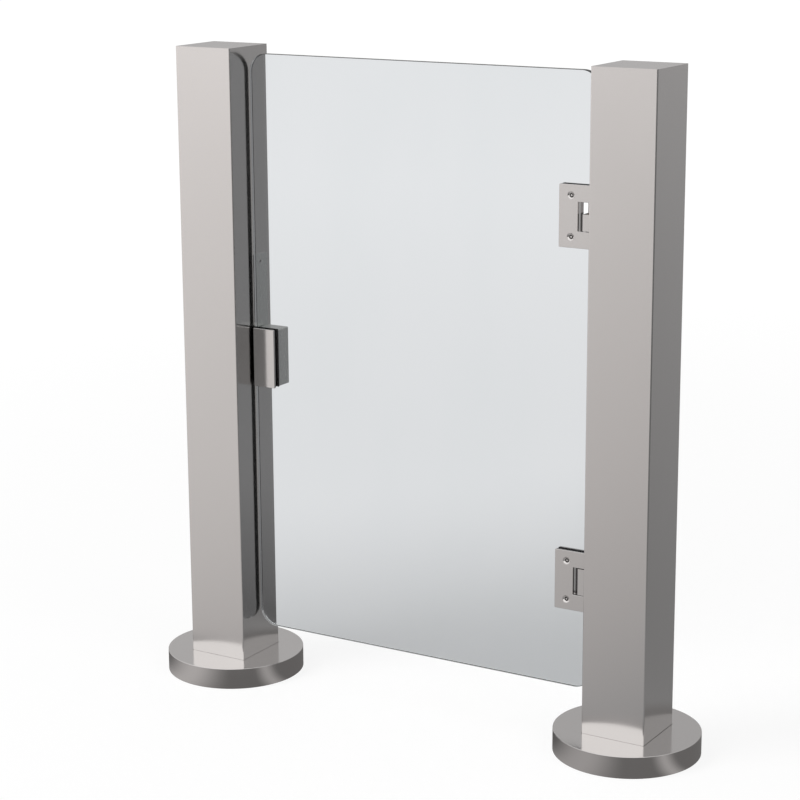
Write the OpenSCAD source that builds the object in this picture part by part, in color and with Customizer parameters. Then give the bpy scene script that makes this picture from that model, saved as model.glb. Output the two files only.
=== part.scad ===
// Glass swing barrier: a glass leaf hung on two clamp hinges between two square posts.
// The origin is on the floor, midway between the posts.
// +X points to the hinge post, +Y to the back of the barrier and +Z up.

/* [Opening and posts] */
// Clear width between the two posts
clear_width = 600; // [500:10:900]
// Height of the post tops above the floor
post_height = 1000; // [950:10:1200]
// Side of the square post tube
post_side = 100; // [90:5:120]
// Wall of the post tube
post_wall = 3; // [2:0.5:5]
// Radius of the post tube's outer edges
post_edge_radius = 2; // [1:0.5:4]
// Thickness of the plate that closes a post at the top
cap_thickness = 3; // [2:0.5:5]
// Depth of the cap's spigot inside the tube
cap_spigot = 4; // [2:1:10]

/* [Floor flanges] */
// Gap between the edge of a base plate and the round cover over it
base_gap = 9; // [4:0.5:12]
// Thickness of the base plate
base_thickness = 10; // [8:1:12]
// Distance of the anchor holes' centres from the base plate's edge
anchor_inset = 18; // [14:0.5:22]
// Diameter of an anchor hole
anchor_hole = 14; // [11:1:16]
// Diameter of the round cover over the base plate
cover_diameter = 218; // [212:2:240]
// Height of the round cover
cover_height = 33; // [28:1:45]
// Sheet thickness of the round cover
cover_wall = 2; // [1.5:0.5:3]
// Radius of the cover's upper edge
cover_edge_radius = 1; // [0.5:0.25:1.5]

/* [Glass leaf] */
// Thickness of the glass
glass_thickness = 10; // [8:1:12]
// Height of the lower glass edge above the floor
glass_bottom = 83; // [60:1:110]
// Distance of the upper glass edge below the post tops
glass_drop = 10; // [5:1:40]
// Radius of the glass corners
glass_corner_radius = 28; // [10:1:50]
// Gap between the free glass edge and the latch post
latch_gap = 4.5; // [4:0.5:8]
// Thickness of the rubber sheets that the fittings clamp on
gasket_thickness = 1; // [0.5:0.25:2]

/* [Clamp hinges] */
// Height of the lower hinge's centre above the floor
lower_hinge_height = 248; // [180:1:350]
// Distance of the upper hinge's centre below the post tops
upper_hinge_drop = 215; // [150:1:320]
// Distance of the hinge axis from the hinge post
axis_offset = 22; // [21:0.5:26]
// Height of the hinge plates
hinge_plate_height = 90; // [84:2:110]
// Width of a clamp plate
clamp_width = 57; // [54:1:66]
// Thickness of a clamp plate
clamp_thickness = 3.5; // [3:0.25:4.5]
// Width of the plate on the post
wall_plate_width = 50; // [46:1:60]
// Thickness of the plate on the post
wall_plate_thickness = 6; // [5:0.5:7]
// Height of the notch that the knuckle stands in
notch_height = 42; // [38:1:46]
// Distance from the hinge axis to the notch's end
notch_reach = 15.2; // [14:0.2:18]
// Distance from the hinge axis to the knuckle's free face
knuckle_reach = 7.2; // [6.5:0.1:8.5]
// Height of the upper hinge's knuckle, shorter than its notch
upper_knuckle_height = 24; // [18:1:30]
// Diameter of the pivot pins
pin_diameter = 6; // [5:0.5:7]
// Diameter of the clamp screws' shanks
clamp_screw = 6; // [5:0.5:6]
// Diameter of the wall screws' shanks
wall_screw = 6; // [5:0.5:8]
// Thickness of the tapped plates inside the post
tapped_plate_thickness = 6; // [4:1:8]

/* [Return spring] */
// Wire diameter of the return spring
spring_wire = 2; // [1.4:0.1:2]
// Number of turns of the return spring
spring_turns = 7; // [4:1:8]

/* [Lock] */
// Height of the lock's centre above the floor
lock_height = 521; // [450:1:600]
// Width of the lock along the glass
lock_width = 38; // [36:1:44]
// Height of the front plate
front_plate_height = 92; // [90:1:110]
// Thickness of the front plate
front_plate_thickness = 3.3; // [3:0.1:4]
// Height of the lock case
case_height = 90; // [88:1:108]
// Depth of the lock case behind the glass
case_depth = 29; // [28:0.5:31]
// Gap between the lock and the latch post
lock_gap = 4; // [4:0.25:6]
// Wall of the lock case
case_wall = 2.5; // [2:0.25:3]
// Height of the bolt
bolt_height = 16; // [14:1:20]
// Thickness of the bolt
bolt_thickness = 10; // [8:1:12]
// Way that the bolt travels for a quarter turn
bolt_throw = 11; // [9:0.5:12]
// Number of teeth on the bolt's pinion
pinion_teeth = 14; // [12:1:16]

/* [Strike] */
// Height of the strike plate's upper edge above the lock's centre
strike_rise = 159; // [100:1:170]
// Length of the strike plate
strike_length = 200; // [180:1:240]
// Width of the strike plate
strike_width = 35; // [34:1:38]
// Thickness of the strike plate
strike_thickness = 2; // [1.5:0.25:2]
// Distance of the strike plate's middle behind the glass plane
strike_middle = 21; // [20.5:0.5:23]
// Diameter of the strike screws' shanks
strike_screw = 5; // [4:0.5:6]
// Thickness of the tapped bar inside the latch post
strike_bar_thickness = 4; // [3:1:6]
// Depth of the strike box
strike_box_depth = 18; // [16:1:30]

/* [Thumb turn] */
// Length of the thumb turn's wing
turn_length = 34; // [26:1:34]
// Thickness of the wing
turn_thickness = 7; // [5:0.5:9]
// Diameter of the thumb turn's hub
turn_hub = 18; // [16:1:22]
// Height of the thumb turn above its rose
turn_height = 13; // [10:1:16]

/* [Hidden] */
$fn = 64;

// How far a cut runs past the face that it opens
overrun = 1;
// Radial play of a shaft that turns in its bore
running_clearance = 0.05;
// Play of a piece that is seated in another of the same body
seat_clearance = 0.1;
// Radial play of a screw or boss in a plain hole
hole_clearance = 0.3;

// Post values worked out from the driving sizes
latch_post_x = -(clear_width + post_side) / 2;
hinge_post_x = (clear_width + post_side) / 2;
latch_face = -clear_width / 2;
hinge_face = clear_width / 2;
cap_clearance = 0.3;
cover_clearance = 0.4;
base_diameter = cover_diameter - 2 * (cover_wall + base_gap);
anchor_circle = base_diameter - 2 * anchor_inset;
anchor_count = 4;

// Leaf values
leaf_left = latch_face + latch_gap;
leaf_top = post_height - glass_drop;
glass_half = glass_thickness / 2;
core_half = glass_half + gasket_thickness;
stack_half = core_half + clamp_thickness;

// Hinge values, measured from the hinge axis
axis_x = hinge_face - axis_offset;
upper_hinge_height = post_height - upper_hinge_drop;
swing_clearance = 0.4;
swing_radius = axis_offset - wall_plate_thickness - swing_clearance;
clamp_reach = sqrt(pow(swing_radius, 2) - pow(stack_half, 2));
clamp_left = clamp_reach - clamp_width;
leaf_reach = sqrt(pow(swing_radius - swing_clearance, 2) - pow(glass_half, 2));
leaf_right = axis_x + leaf_reach;
clamp_corner_radius = 1.5;
clamp_rim = 7;
core_left_rim = 11.5;
core_left = clamp_left + core_left_rim;
core_height = hinge_plate_height - 2 * clamp_rim;
cut_out_play = 1;
cut_out_radius = 5;
core_corner_radius = cut_out_radius - cut_out_play;
gasket_play = 0.3;
clamp_screw_inset = 18.8;
clamp_screw_x = clamp_left + clamp_screw_inset;
clamp_screw_z = (notch_height + core_height) / 4;
clamp_screw_tip = 2;
knuckle_play = 1;
washer_play = 0.1;
washer_thickness = knuckle_play - washer_play;
washer_rim = 3.5;
bush_wall = 1.5;
bush_length = 8;
pin_end_cover = 1.7;
pin_length = core_height - 2 * pin_end_cover;
pin_radius = pin_diameter / 2;
bush_radius = pin_radius + running_clearance + bush_wall;
wall_screw_inset_share = 1.35;
wall_screw_y = wall_plate_width / 2 - wall_screw * wall_screw_inset_share;
wall_screw_z = hinge_plate_height / 2 - 2 * wall_screw;
chamber_wall = 1;
chamber_radius = knuckle_reach - chamber_wall;
lower_knuckle_height = notch_height - 2 * knuckle_play;
knuckle_bottom = -notch_height / 2 + knuckle_play;
spring_bush_length = 6;
chamber_bottom = knuckle_bottom + bush_length;
chamber_top = knuckle_bottom + lower_knuckle_height - spring_bush_length;

// Return spring, wound round the lower pin
spring_play = 0.3;
spring_radius = (pin_radius + chamber_radius) / 2;
spring_start = chamber_bottom + spring_play + spring_wire / 2;
spring_end = chamber_top - spring_play - spring_wire / 2;
spring_rings = 8;
spring_sides = 6;
spring_leg = 2 * spring_wire;

// Lock values
lock_left = latch_face + lock_gap;
lock_x = lock_left + lock_width / 2;
case_front = core_half;
case_back = case_front + case_depth;
lid_thickness = case_wall;
case_rim = case_back - lid_thickness;
lock_boss = 10;
lock_boss_z = case_height / 2 - lock_boss;
lock_boss_end_play = 0.1;
case_screw = 5;
case_screw_head = 8.5;
case_screw_head_height = 2.5;
case_screw_tip = 2;
pillar_diameter = 7;
lid_screw = 3;
lid_screw_length = 12;
pillar_sink = 0.5;
lid_screw_x = lock_width / 2 - case_wall - pillar_diameter / 2 + pillar_sink;
lid_screw_z = case_height / 2 - case_wall - pillar_diameter / 2 + pillar_sink;

// Rack and pinion, with pitch circle and module set by the bolt's throw
quarter_turn = 90;
pinion_radius = bolt_throw * 2 / PI;
tooth_module = 2 * pinion_radius / pinion_teeth;
tooth_pitch = PI * tooth_module;
pressure_angle = 20;
tooth_backlash = 0.16;
addendum_share = 1;
rack_addendum_share = 0.8;
dedendum_share = 1.25;
rack_tooth_count = 6;
bolt_y = (case_front + case_back) / 2;
bolt_z = lock_height + pinion_radius - rack_addendum_share * tooth_module;
bolt_set_back = 0.5;
bolt_play = 0.3;
bolt_tail_room = 2;
bolt_left = lock_left + bolt_set_back;
bolt_length = lock_width - case_wall - bolt_set_back - bolt_tail_room;
bolt_nose = 1;
guide_pin = 4;
guide_slot_inset = 10;
guide_slot_cover = 2;
guide_slot_left = bolt_left + guide_slot_inset;
guide_pin_z = bolt_z + bolt_height - guide_pin - guide_slot_cover;
pinion_inset = 1;
pinion_width = bolt_thickness - 2 * pinion_inset;
collar_step = 0.4;
spindle_collar = 2 * (pinion_radius - dedendum_share * tooth_module) - collar_step;
front_journal = 6;
back_journal = 8;
journal_boss = 11;
journal_boss_length = 3.5;
journal_end_play = 0.3;
friction_washer_thickness = 0.8;
friction_washer_wall = 2;
washer_gap = 0.1;
rose_diameter = 26;
rose_thickness = 1.5;
square_drive = 5;
square_drive_length = 9;
turn_gap = 0.4;
turn_edge = 1;
turn_wing_depth_share = 0.8;
turn_round_share = 0.45;
turn_screw = 3;
turn_screw_head = 5.5;
turn_screw_head_height = 1.8;
turn_screw_length = 8;

// Strike values
strike_z = lock_height + strike_rise - strike_length / 2;
strike_screw_inset = 12;
strike_screw_z = strike_length / 2 - strike_screw_inset;
strike_corner_radius = 2;
mouth_play = 1.6;
mouth_z = bolt_z + bolt_height / 2;
mouth_height = bolt_height + 2 * mouth_play;
mouth_width = bolt_thickness + 2 * mouth_play;
strike_box_wall = 1.5;
strike_bar_width = 32;
// The thin strike plate takes a shallow cone, which its screws match
strike_head_share = 1.7;
strike_head_height_share = 0.3;

// Countersunk heads: shares of the shank's diameter
head_share = 1.9;
head_height_share = 0.45;
socket_share = 0.6;
socket_depth_share = 0.32;
head_sink = 0.6;
head_play = 0.1;

// A rectangle with round corners, centred on the origin
module rounded_plate(width, height, radius) {
    square([width - 2 * radius, height], center = true);
    square([width, height - 2 * radius], center = true);
    for (sx = [-1, 1], sy = [-1, 1])
        translate([sx * (width / 2 - radius), sy * (height / 2 - radius)])
            circle(r = radius);
}

// Extrudes an outline drawn in X and Z from one Y to another
module along_y(y_start, y_end) {
    translate([0, y_end, 0])
        rotate([90, 0, 0])
            linear_extrude(height = y_end - y_start)
                children();
}

// Extrudes an outline drawn in Y and Z from one X to another
module along_x(x_start, x_end) {
    translate([x_start, 0, 0])
        rotate([90, 0, 90])
            linear_extrude(height = x_end - x_start)
                children();
}

// A block given by its lowest and highest corners
module block(low, high) {
    translate(low)
        cube(high - low);
}

// The way a screw points: its head's face at the origin, its shank along +Z
module screw_hole(shank, depth) {
    head = shank * head_share + 2 * head_play;
    bore = shank + 2 * hole_clearance;
    translate([0, 0, -overrun])
        cylinder(d = head, h = overrun + head_sink);
    translate([0, 0, head_sink])
        cylinder(d1 = head, d2 = bore, h = shank * head_height_share);
    cylinder(d = bore, h = depth);
}

module countersunk_screw(shank, length) {
    head = shank * head_share;
    head_height = shank * head_height_share;
    difference() {
        translate([0, 0, head_sink])
            union() {
                cylinder(d1 = head, d2 = shank, h = head_height);
                cylinder(d = shank, h = length - head_sink);
            }
        translate([0, 0, head_sink - overrun])
            cylinder(d = shank * socket_share, h = overrun + shank * socket_depth_share, $fn = 6);
    }
}

module tapped_hole(shank, depth) {
    cylinder(r = shank / 2 + running_clearance, h = depth);
}

// Turns a shape that runs along +Z so that it runs along +Y, +X or -X
module toward_y() {
    rotate([-90, 0, 0])
        children();
}

module toward_back_x() {
    rotate([0, -90, 0])
        children();
}

module toward_front_x() {
    rotate([0, 90, 0])
        children();
}

// Posts

module post_tube() {
    translate([0, 0, base_thickness])
        linear_extrude(height = post_height - cap_thickness - base_thickness)
            difference() {
                rounded_plate(post_side, post_side, post_edge_radius);
                square(post_side - 2 * post_wall, center = true);
            }
}

module post_cap() {
    spigot_side = post_side - 2 * (post_wall + cap_clearance);
    translate([0, 0, post_height - cap_thickness]) {
        linear_extrude(height = cap_thickness)
            rounded_plate(post_side, post_side, post_edge_radius);
        translate([0, 0, -cap_spigot])
            linear_extrude(height = cap_spigot)
                difference() {
                    square(spigot_side, center = true);
                    square(spigot_side - 2 * post_wall, center = true);
                }
    }
}

module base_plate() {
    difference() {
        cylinder(d = base_diameter, h = base_thickness, $fn = 96);
        for (turn = [0 : anchor_count - 1])
            rotate(turn * 360 / anchor_count)
                translate([anchor_circle / 2, 0, -overrun])
                    cylinder(d = anchor_hole, h = base_thickness + 2 * overrun);
    }
}

// A drawn sheet cap with a square hole for the post
module flange_cover() {
    cover_radius = cover_diameter / 2;
    difference() {
        rotate_extrude($fn = 128) {
            square([cover_radius - cover_edge_radius, cover_height]);
            square([cover_radius, cover_height - cover_edge_radius]);
            translate([cover_radius - cover_edge_radius, cover_height - cover_edge_radius])
                circle(r = cover_edge_radius, $fn = 32);
        }
        translate([0, 0, -overrun])
            cylinder(r = cover_radius - cover_wall, h = cover_height - cover_wall + overrun, $fn = 128);
        linear_extrude(height = cover_height + overrun)
            rounded_plate(
                post_side + 2 * cover_clearance,
                post_side + 2 * cover_clearance,
                post_edge_radius
            );
    }
}

module latch_post() {
    color("lightgray")
        difference() {
            translate([latch_post_x, 0, 0])
                post_tube();
            strike_box_window(latch_face - post_wall - overrun, latch_face + overrun);
            at_strike_screws()
                cylinder(r = strike_screw / 2 + hole_clearance, h = strike_thickness + post_wall + overrun);
        }
}

module hinge_post() {
    color("lightgray")
        difference() {
            translate([hinge_post_x, 0, 0])
                post_tube();
            for (height = [lower_hinge_height, upper_hinge_height])
                at_wall_screws(height)
                    cylinder(r = wall_screw / 2 + hole_clearance, h = wall_plate_thickness + post_wall + overrun);
        }
}

module latch_post_cap() {
    color("lightgray")
        translate([latch_post_x, 0, 0])
            post_cap();
}

module hinge_post_cap() {
    color("lightgray")
        translate([hinge_post_x, 0, 0])
            post_cap();
}

module latch_base_plate() {
    color("gray")
        translate([latch_post_x, 0, 0])
            base_plate();
}

module hinge_base_plate() {
    color("gray")
        translate([hinge_post_x, 0, 0])
            base_plate();
}

module latch_flange_cover() {
    color("lightgray")
        translate([latch_post_x, 0, 0])
            flange_cover();
}

module hinge_flange_cover() {
    color("lightgray")
        translate([hinge_post_x, 0, 0])
            flange_cover();
}

// Strike, on the inner face of the latch post

// Puts a screw at each strike screw's place, with its shank towards the post
module at_strike_screws() {
    for (side = [-1, 1])
        translate([latch_face + strike_thickness, strike_middle, strike_z + side * strike_screw_z])
            toward_back_x()
                children();
}

module strike_box_window(x_start, x_end) {
    along_x(x_start, x_end)
        translate([bolt_y, mouth_z])
            square(
                [
                    mouth_width + 2 * (strike_box_wall + hole_clearance),
                    mouth_height + 2 * (strike_box_wall + hole_clearance)
                ],
                center = true
            );
}

module strike_plate() {
    color("silver")
        difference() {
            along_x(latch_face, latch_face + strike_thickness)
                translate([strike_middle, strike_z])
                    rounded_plate(strike_width, strike_length, strike_corner_radius);
            along_x(latch_face - overrun, latch_face + strike_thickness + overrun)
                translate([bolt_y, mouth_z])
                    square([mouth_width, mouth_height], center = true);
            at_strike_screws()
                strike_screw_hole();
        }
}

module strike_screw_hole() {
    translate([0, 0, -overrun])
        cylinder(d = strike_screw * strike_head_share + 2 * head_play, h = overrun);
    cylinder(
        d1 = strike_screw * strike_head_share + 2 * head_play,
        d2 = strike_screw + 2 * hole_clearance,
        h = strike_screw * strike_head_height_share
    );
    cylinder(r = strike_screw / 2 + hole_clearance, h = strike_thickness + overrun);
}

module strike_screws() {
    color("dimgray")
        at_strike_screws()
            difference() {
                union() {
                    cylinder(
                        d1 = strike_screw * strike_head_share,
                        d2 = strike_screw,
                        h = strike_screw * strike_head_height_share
                    );
                    cylinder(d = strike_screw, h = strike_thickness + post_wall + strike_bar_thickness);
                }
                translate([0, 0, -overrun])
                    cylinder(
                        d = strike_screw * socket_share,
                        h = overrun + strike_screw * socket_depth_share,
                        $fn = 6
                    );
            }
}

// The box that the bolt enters, closed at the back
module strike_box() {
    color("dimgray")
        difference() {
            along_x(latch_face - strike_box_depth, latch_face)
                translate([bolt_y, mouth_z])
                    square(
                        [mouth_width + 2 * strike_box_wall, mouth_height + 2 * strike_box_wall],
                        center = true
                    );
            along_x(latch_face - strike_box_depth + strike_box_wall, latch_face + overrun)
                translate([bolt_y, mouth_z])
                    square([mouth_width, mouth_height], center = true);
        }
}

module strike_tapped_bar() {
    color("gray")
        difference() {
            along_x(latch_face - post_wall - strike_bar_thickness, latch_face - post_wall)
                translate([strike_middle, strike_z])
                    square([strike_bar_width, strike_length], center = true);
            strike_box_window(latch_face - post_wall - strike_bar_thickness - overrun, latch_face);
            at_strike_screws()
                tapped_hole(strike_screw, strike_thickness + post_wall + strike_bar_thickness + overrun);
        }
}

// Hinges. Each module here is drawn round the hinge axis and the middle of the hinge's height

module at_hinge(height) {
    translate([axis_x, 0, height])
        children();
}

// Puts a screw at each wall screw's place, with its shank towards the post
module at_wall_screws(height) {
    for (side_y = [-1, 1], side_z = [-1, 1])
        translate([
            hinge_face - wall_plate_thickness,
            side_y * wall_screw_y,
            height + side_z * wall_screw_z
        ])
            toward_front_x()
                children();
}

// Puts a screw at each clamp screw's place, with its shank towards the back
module at_clamp_screws() {
    for (side = [-1, 1])
        translate([clamp_screw_x, -stack_half, side * clamp_screw_z])
            toward_y()
                children();
}

module wall_plate(knuckle_height) {
    plate_left = axis_offset - wall_plate_thickness;
    knuckle_end = plate_left + wall_plate_thickness / 2;
    difference() {
        union() {
            along_x(plate_left, axis_offset)
                rounded_plate(wall_plate_width, hinge_plate_height, clamp_corner_radius);
            block(
                [-knuckle_reach, -stack_half, knuckle_bottom],
                [knuckle_end, stack_half, knuckle_bottom + knuckle_height]
            );
        }
        translate([0, 0, knuckle_bottom - overrun])
            cylinder(r = bush_radius + seat_clearance / 2, h = knuckle_height + 2 * overrun);
    }
}

module wall_screw_holes(height) {
    at_wall_screws(height)
        screw_hole(wall_screw, wall_plate_thickness + overrun);
}

module upper_wall_plate() {
    color("silver")
        difference() {
            at_hinge(upper_hinge_height)
                wall_plate(upper_knuckle_height);
            wall_screw_holes(upper_hinge_height);
        }
}

module lower_wall_plate() {
    color("silver")
        difference() {
            at_hinge(lower_hinge_height)
                wall_plate(lower_knuckle_height);
            wall_screw_holes(lower_hinge_height);
            at_hinge(lower_hinge_height) {
                translate([0, 0, chamber_bottom])
                    cylinder(r = chamber_radius, h = lower_knuckle_height);
                translate([0, 0, spring_start])
                    toward_front_x()
                        cylinder(
                            r = spring_wire / 2 + spring_play,
                            h = spring_radius + spring_leg + spring_play
                        );
            }
        }
}

module wall_screws(height) {
    at_wall_screws(height)
        countersunk_screw(wall_screw, wall_plate_thickness + post_wall + tapped_plate_thickness);
}

module upper_wall_screws() {
    color("silver")
        wall_screws(upper_hinge_height);
}

module lower_wall_screws() {
    color("silver")
        wall_screws(lower_hinge_height);
}

module tapped_plate(height) {
    plate_x = hinge_face + post_wall;
    difference() {
        along_x(plate_x, plate_x + tapped_plate_thickness)
            translate([0, height])
                square([wall_plate_width, hinge_plate_height], center = true);
        at_wall_screws(height)
            tapped_hole(wall_screw, wall_plate_thickness + post_wall + tapped_plate_thickness + overrun);
    }
}

module upper_tapped_plate() {
    color("gray")
        tapped_plate(upper_hinge_height);
}

module lower_tapped_plate() {
    color("gray")
        tapped_plate(lower_hinge_height);
}

module bush(outer_radius, length) {
    difference() {
        cylinder(r = outer_radius, h = length);
        translate([0, 0, -overrun])
            cylinder(r = pin_radius + running_clearance, h = length + 2 * overrun);
    }
}

module upper_knuckle_bush() {
    color("darkgoldenrod")
        at_hinge(upper_hinge_height)
            translate([0, 0, knuckle_bottom])
                bush(bush_radius, upper_knuckle_height);
}

module lower_knuckle_bush() {
    color("darkgoldenrod")
        at_hinge(lower_hinge_height)
            translate([0, 0, knuckle_bottom])
                bush(bush_radius, bush_length);
}

module lower_spring_bush() {
    color("darkgoldenrod")
        at_hinge(lower_hinge_height)
            translate([0, 0, chamber_top])
                bush(chamber_radius - seat_clearance / 2, spring_bush_length);
}

// The wire's centre line: a leg that points away from the axis, then the turns of the coil
function coil_point(turn) = [
    spring_radius * cos(turn * 360),
    spring_radius * sin(turn * 360),
    spring_start + (spring_end - spring_start) * turn / spring_turns
];
function wire_path() = concat(
    [coil_point(0) + [spring_leg, 0, 0]],
    [for (step = [0 : spring_turns * spring_rings]) coil_point(step / spring_rings)]
);
// The side of a straight length of wire, as seen from above
function length_side(start, end) =
    let (way = end - start)
    [way.y, -way.x, 0] / norm([way.x, way.y]);
function mitre(path, index) =
    let (
        before = length_side(path[max(index - 1, 0)], path[max(index, 1)]),
        after = length_side(path[min(index, len(path) - 2)], path[min(index + 1, len(path) - 1)])
    )
    (before + after) / (1 + before * after);
function wire_ring(path, index) = [
    for (side = [0 : spring_sides - 1])
        let (angle = side * 360 / spring_sides)
        path[index] + spring_wire / 2 * (mitre(path, index) * cos(angle) + [0, 0, sin(angle)])
];

module spring() {
    path = wire_path();
    rings = len(path);
    points = [for (index = [0 : rings - 1]) each wire_ring(path, index)];
    faces = [
        for (index = [0 : rings - 2], side = [0 : spring_sides - 1])
            let (
                next = (side + 1) % spring_sides,
                low = index * spring_sides,
                high = low + spring_sides
            )
            each [[low + side, low + next, high + side], [low + next, high + next, high + side]]
    ];
    last_ring = (rings - 1) * spring_sides;
    ends = [
        for (side = [1 : spring_sides - 2])
            each [[0, side + 1, side], [last_ring, last_ring + side, last_ring + side + 1]]
    ];
    polyhedron(points = points, faces = concat(faces, ends));
}

module lower_return_spring() {
    color("dimgray")
        at_hinge(lower_hinge_height)
            spring();
}

// Outline of the clamp plates in X and Z, with the notch for the knuckle
module clamp_outline() {
    difference() {
        translate([clamp_left + clamp_width / 2, 0])
            rounded_plate(clamp_width, hinge_plate_height, clamp_corner_radius);
        notch_outline();
    }
}

module notch_outline() {
    translate([-notch_reach, -notch_height / 2])
        square([notch_reach + clamp_reach + overrun, notch_height]);
}

// Outline of the metal core that fills the cut-out in the glass
module core_outline() {
    core_width = clamp_reach - core_left;
    translate([core_left + core_width / 2, 0])
        rounded_plate(core_width, core_height, core_corner_radius);
    translate([core_left + core_width / 2, -core_height / 2])
        square([core_width / 2, core_height]);
}

// The pin lies in a half round slot, open to the front
module pin_slot(width, half_length) {
    for (side = [-1, 1])
        mirror([0, 0, side < 0 ? 1 : 0])
            translate([0, 0, notch_height / 2 - overrun]) {
                cylinder(d = width, h = half_length - notch_height / 2 + overrun);
                block(
                    [-width / 2, -core_half - overrun, 0],
                    [width / 2, 0, half_length - notch_height / 2 + overrun]
                );
            }
}

module back_clamp() {
    difference() {
        union() {
            along_y(core_half, stack_half)
                clamp_outline();
            along_y(-core_half, core_half)
                difference() {
                    core_outline();
                    notch_outline();
                }
        }
        pin_slot(pin_diameter + 2 * running_clearance, pin_length / 2 + seat_clearance);
        at_clamp_screws()
            tapped_hole(clamp_screw, stack_half + core_half - clamp_screw_tip + overrun);
    }
}

// The front plate, with a saddle over each end of the pin
module front_clamp() {
    saddle_top = pin_length / 2;
    difference() {
        union() {
            along_y(-stack_half, -core_half)
                clamp_outline();
            for (side = [-1, 1])
                mirror([0, 0, side < 0 ? 1 : 0])
                    block(
                        [-pin_radius, -core_half, notch_height / 2],
                        [pin_radius, 0, saddle_top]
                    );
        }
        translate([0, 0, -hinge_plate_height / 2])
            cylinder(d = pin_diameter + 2 * running_clearance, h = hinge_plate_height);
        at_clamp_screws()
            screw_hole(clamp_screw, clamp_thickness + overrun);
    }
}

module clamp_gasket(y_start) {
    along_y(y_start, y_start + gasket_thickness)
        difference() {
            translate([clamp_left + clamp_width / 2, 0])
                rounded_plate(clamp_width, hinge_plate_height, clamp_corner_radius);
            translate([core_left - gasket_play, -core_height / 2 - gasket_play])
                square([clamp_width, core_height + 2 * gasket_play]);
        }
}

module clamp_screws() {
    at_clamp_screws()
        countersunk_screw(clamp_screw, stack_half + core_half - clamp_screw_tip);
}

module pivot_pin() {
    translate([0, 0, -pin_length / 2])
        cylinder(r = pin_radius, h = pin_length);
}

// A washer that lies on the notch's lower or upper face
module thrust_washer(side) {
    washer_radius = pin_radius + washer_rim;
    mirror([0, 0, side < 0 ? 1 : 0])
        translate([0, 0, notch_height / 2 - washer_thickness])
            difference() {
                cylinder(r = washer_radius, h = washer_thickness);
                translate([0, 0, -overrun])
                    cylinder(r = pin_radius + seat_clearance, h = washer_thickness + 2 * overrun);
            }
}

module upper_front_clamp() {
    color("silver")
        at_hinge(upper_hinge_height)
            front_clamp();
}

module upper_back_clamp() {
    color("silver")
        at_hinge(upper_hinge_height)
            back_clamp();
}

module upper_front_gasket() {
    color("black")
        at_hinge(upper_hinge_height)
            clamp_gasket(-core_half);
}

module upper_back_gasket() {
    color("black")
        at_hinge(upper_hinge_height)
            clamp_gasket(glass_half);
}

module upper_clamp_screws() {
    color("gray")
        at_hinge(upper_hinge_height)
            clamp_screws();
}

module upper_pivot_pin() {
    color("gray")
        at_hinge(upper_hinge_height)
            pivot_pin();
}

module upper_thrust_washer() {
    color("white")
        at_hinge(upper_hinge_height)
            thrust_washer(-1);
}

module lower_front_clamp() {
    color("silver")
        at_hinge(lower_hinge_height)
            front_clamp();
}

module lower_back_clamp() {
    color("silver")
        at_hinge(lower_hinge_height)
            back_clamp();
}

module lower_front_gasket() {
    color("black")
        at_hinge(lower_hinge_height)
            clamp_gasket(-core_half);
}

module lower_back_gasket() {
    color("black")
        at_hinge(lower_hinge_height)
            clamp_gasket(glass_half);
}

module lower_clamp_screws() {
    color("gray")
        at_hinge(lower_hinge_height)
            clamp_screws();
}

module lower_pivot_pin() {
    color("gray")
        at_hinge(lower_hinge_height)
            pivot_pin();
}

module lower_thrust_washers() {
    color("white")
        at_hinge(lower_hinge_height) {
            thrust_washer(-1);
            thrust_washer(1);
        }
}

// The glass leaf, with a cut-out at each hinge and two holes for the lock

module hinge_cut_out() {
    left = core_left - cut_out_play;
    height = core_height + 2 * cut_out_play;
    width = leaf_right - axis_x - left + cut_out_radius + overrun;
    translate([left + width / 2, 0])
        rounded_plate(width, height, cut_out_radius);
}

module glass_panel() {
    leaf_height = leaf_top - glass_bottom;
    color("lightblue", 0.4)
        along_y(-glass_half, glass_half)
            difference() {
                translate([(leaf_left + leaf_right) / 2, glass_bottom + leaf_height / 2])
                    rounded_plate(leaf_right - leaf_left, leaf_height, glass_corner_radius);
                for (height = [lower_hinge_height, upper_hinge_height])
                    translate([axis_x, height])
                        hinge_cut_out();
                lock_hole_outlines();
            }
}

// Lock, clamped through two holes near the free edge of the glass

module at_lock_holes() {
    for (side = [-1, 1])
        translate([lock_x, 0, lock_height + side * lock_boss_z])
            children();
}

module lock_hole_outlines() {
    for (side = [-1, 1])
        translate([lock_x, lock_height + side * lock_boss_z])
            circle(r = lock_boss / 2 + 2 * hole_clearance);
}

module lock_outline(height) {
    translate([lock_x, lock_height])
        rounded_plate(lock_width, height, clamp_corner_radius);
}

module lock_front_plate() {
    color("silver")
        difference() {
            union() {
                along_y(-core_half - front_plate_thickness, -core_half)
                    lock_outline(front_plate_height);
                at_lock_holes()
                    translate([0, -core_half, 0])
                        toward_y()
                            cylinder(d = lock_boss, h = 2 * core_half - lock_boss_end_play);
            }
            at_lock_holes()
                translate([0, -core_half, 0])
                    toward_y()
                        tapped_hole(case_screw, 2 * core_half);
        }
}

module lock_gasket(y_start) {
    along_y(y_start, y_start + gasket_thickness)
        difference() {
            lock_outline(case_height);
            lock_hole_outlines();
        }
}

module lock_front_gasket() {
    color("black")
        lock_gasket(-core_half);
}

module lock_back_gasket() {
    color("black")
        lock_gasket(glass_half);
}

module at_lid_screws() {
    for (side_x = [-1, 1], side_z = [-1, 1])
        translate([lock_x + side_x * lid_screw_x, 0, lock_height + side_z * lid_screw_z])
            children();
}

// The bolt's outline in Y and Z, with some play all round
module bolt_window(play) {
    translate([bolt_y, bolt_z + bolt_height / 2])
        square([bolt_thickness + 2 * play, bolt_height + 2 * play], center = true);
}

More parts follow.
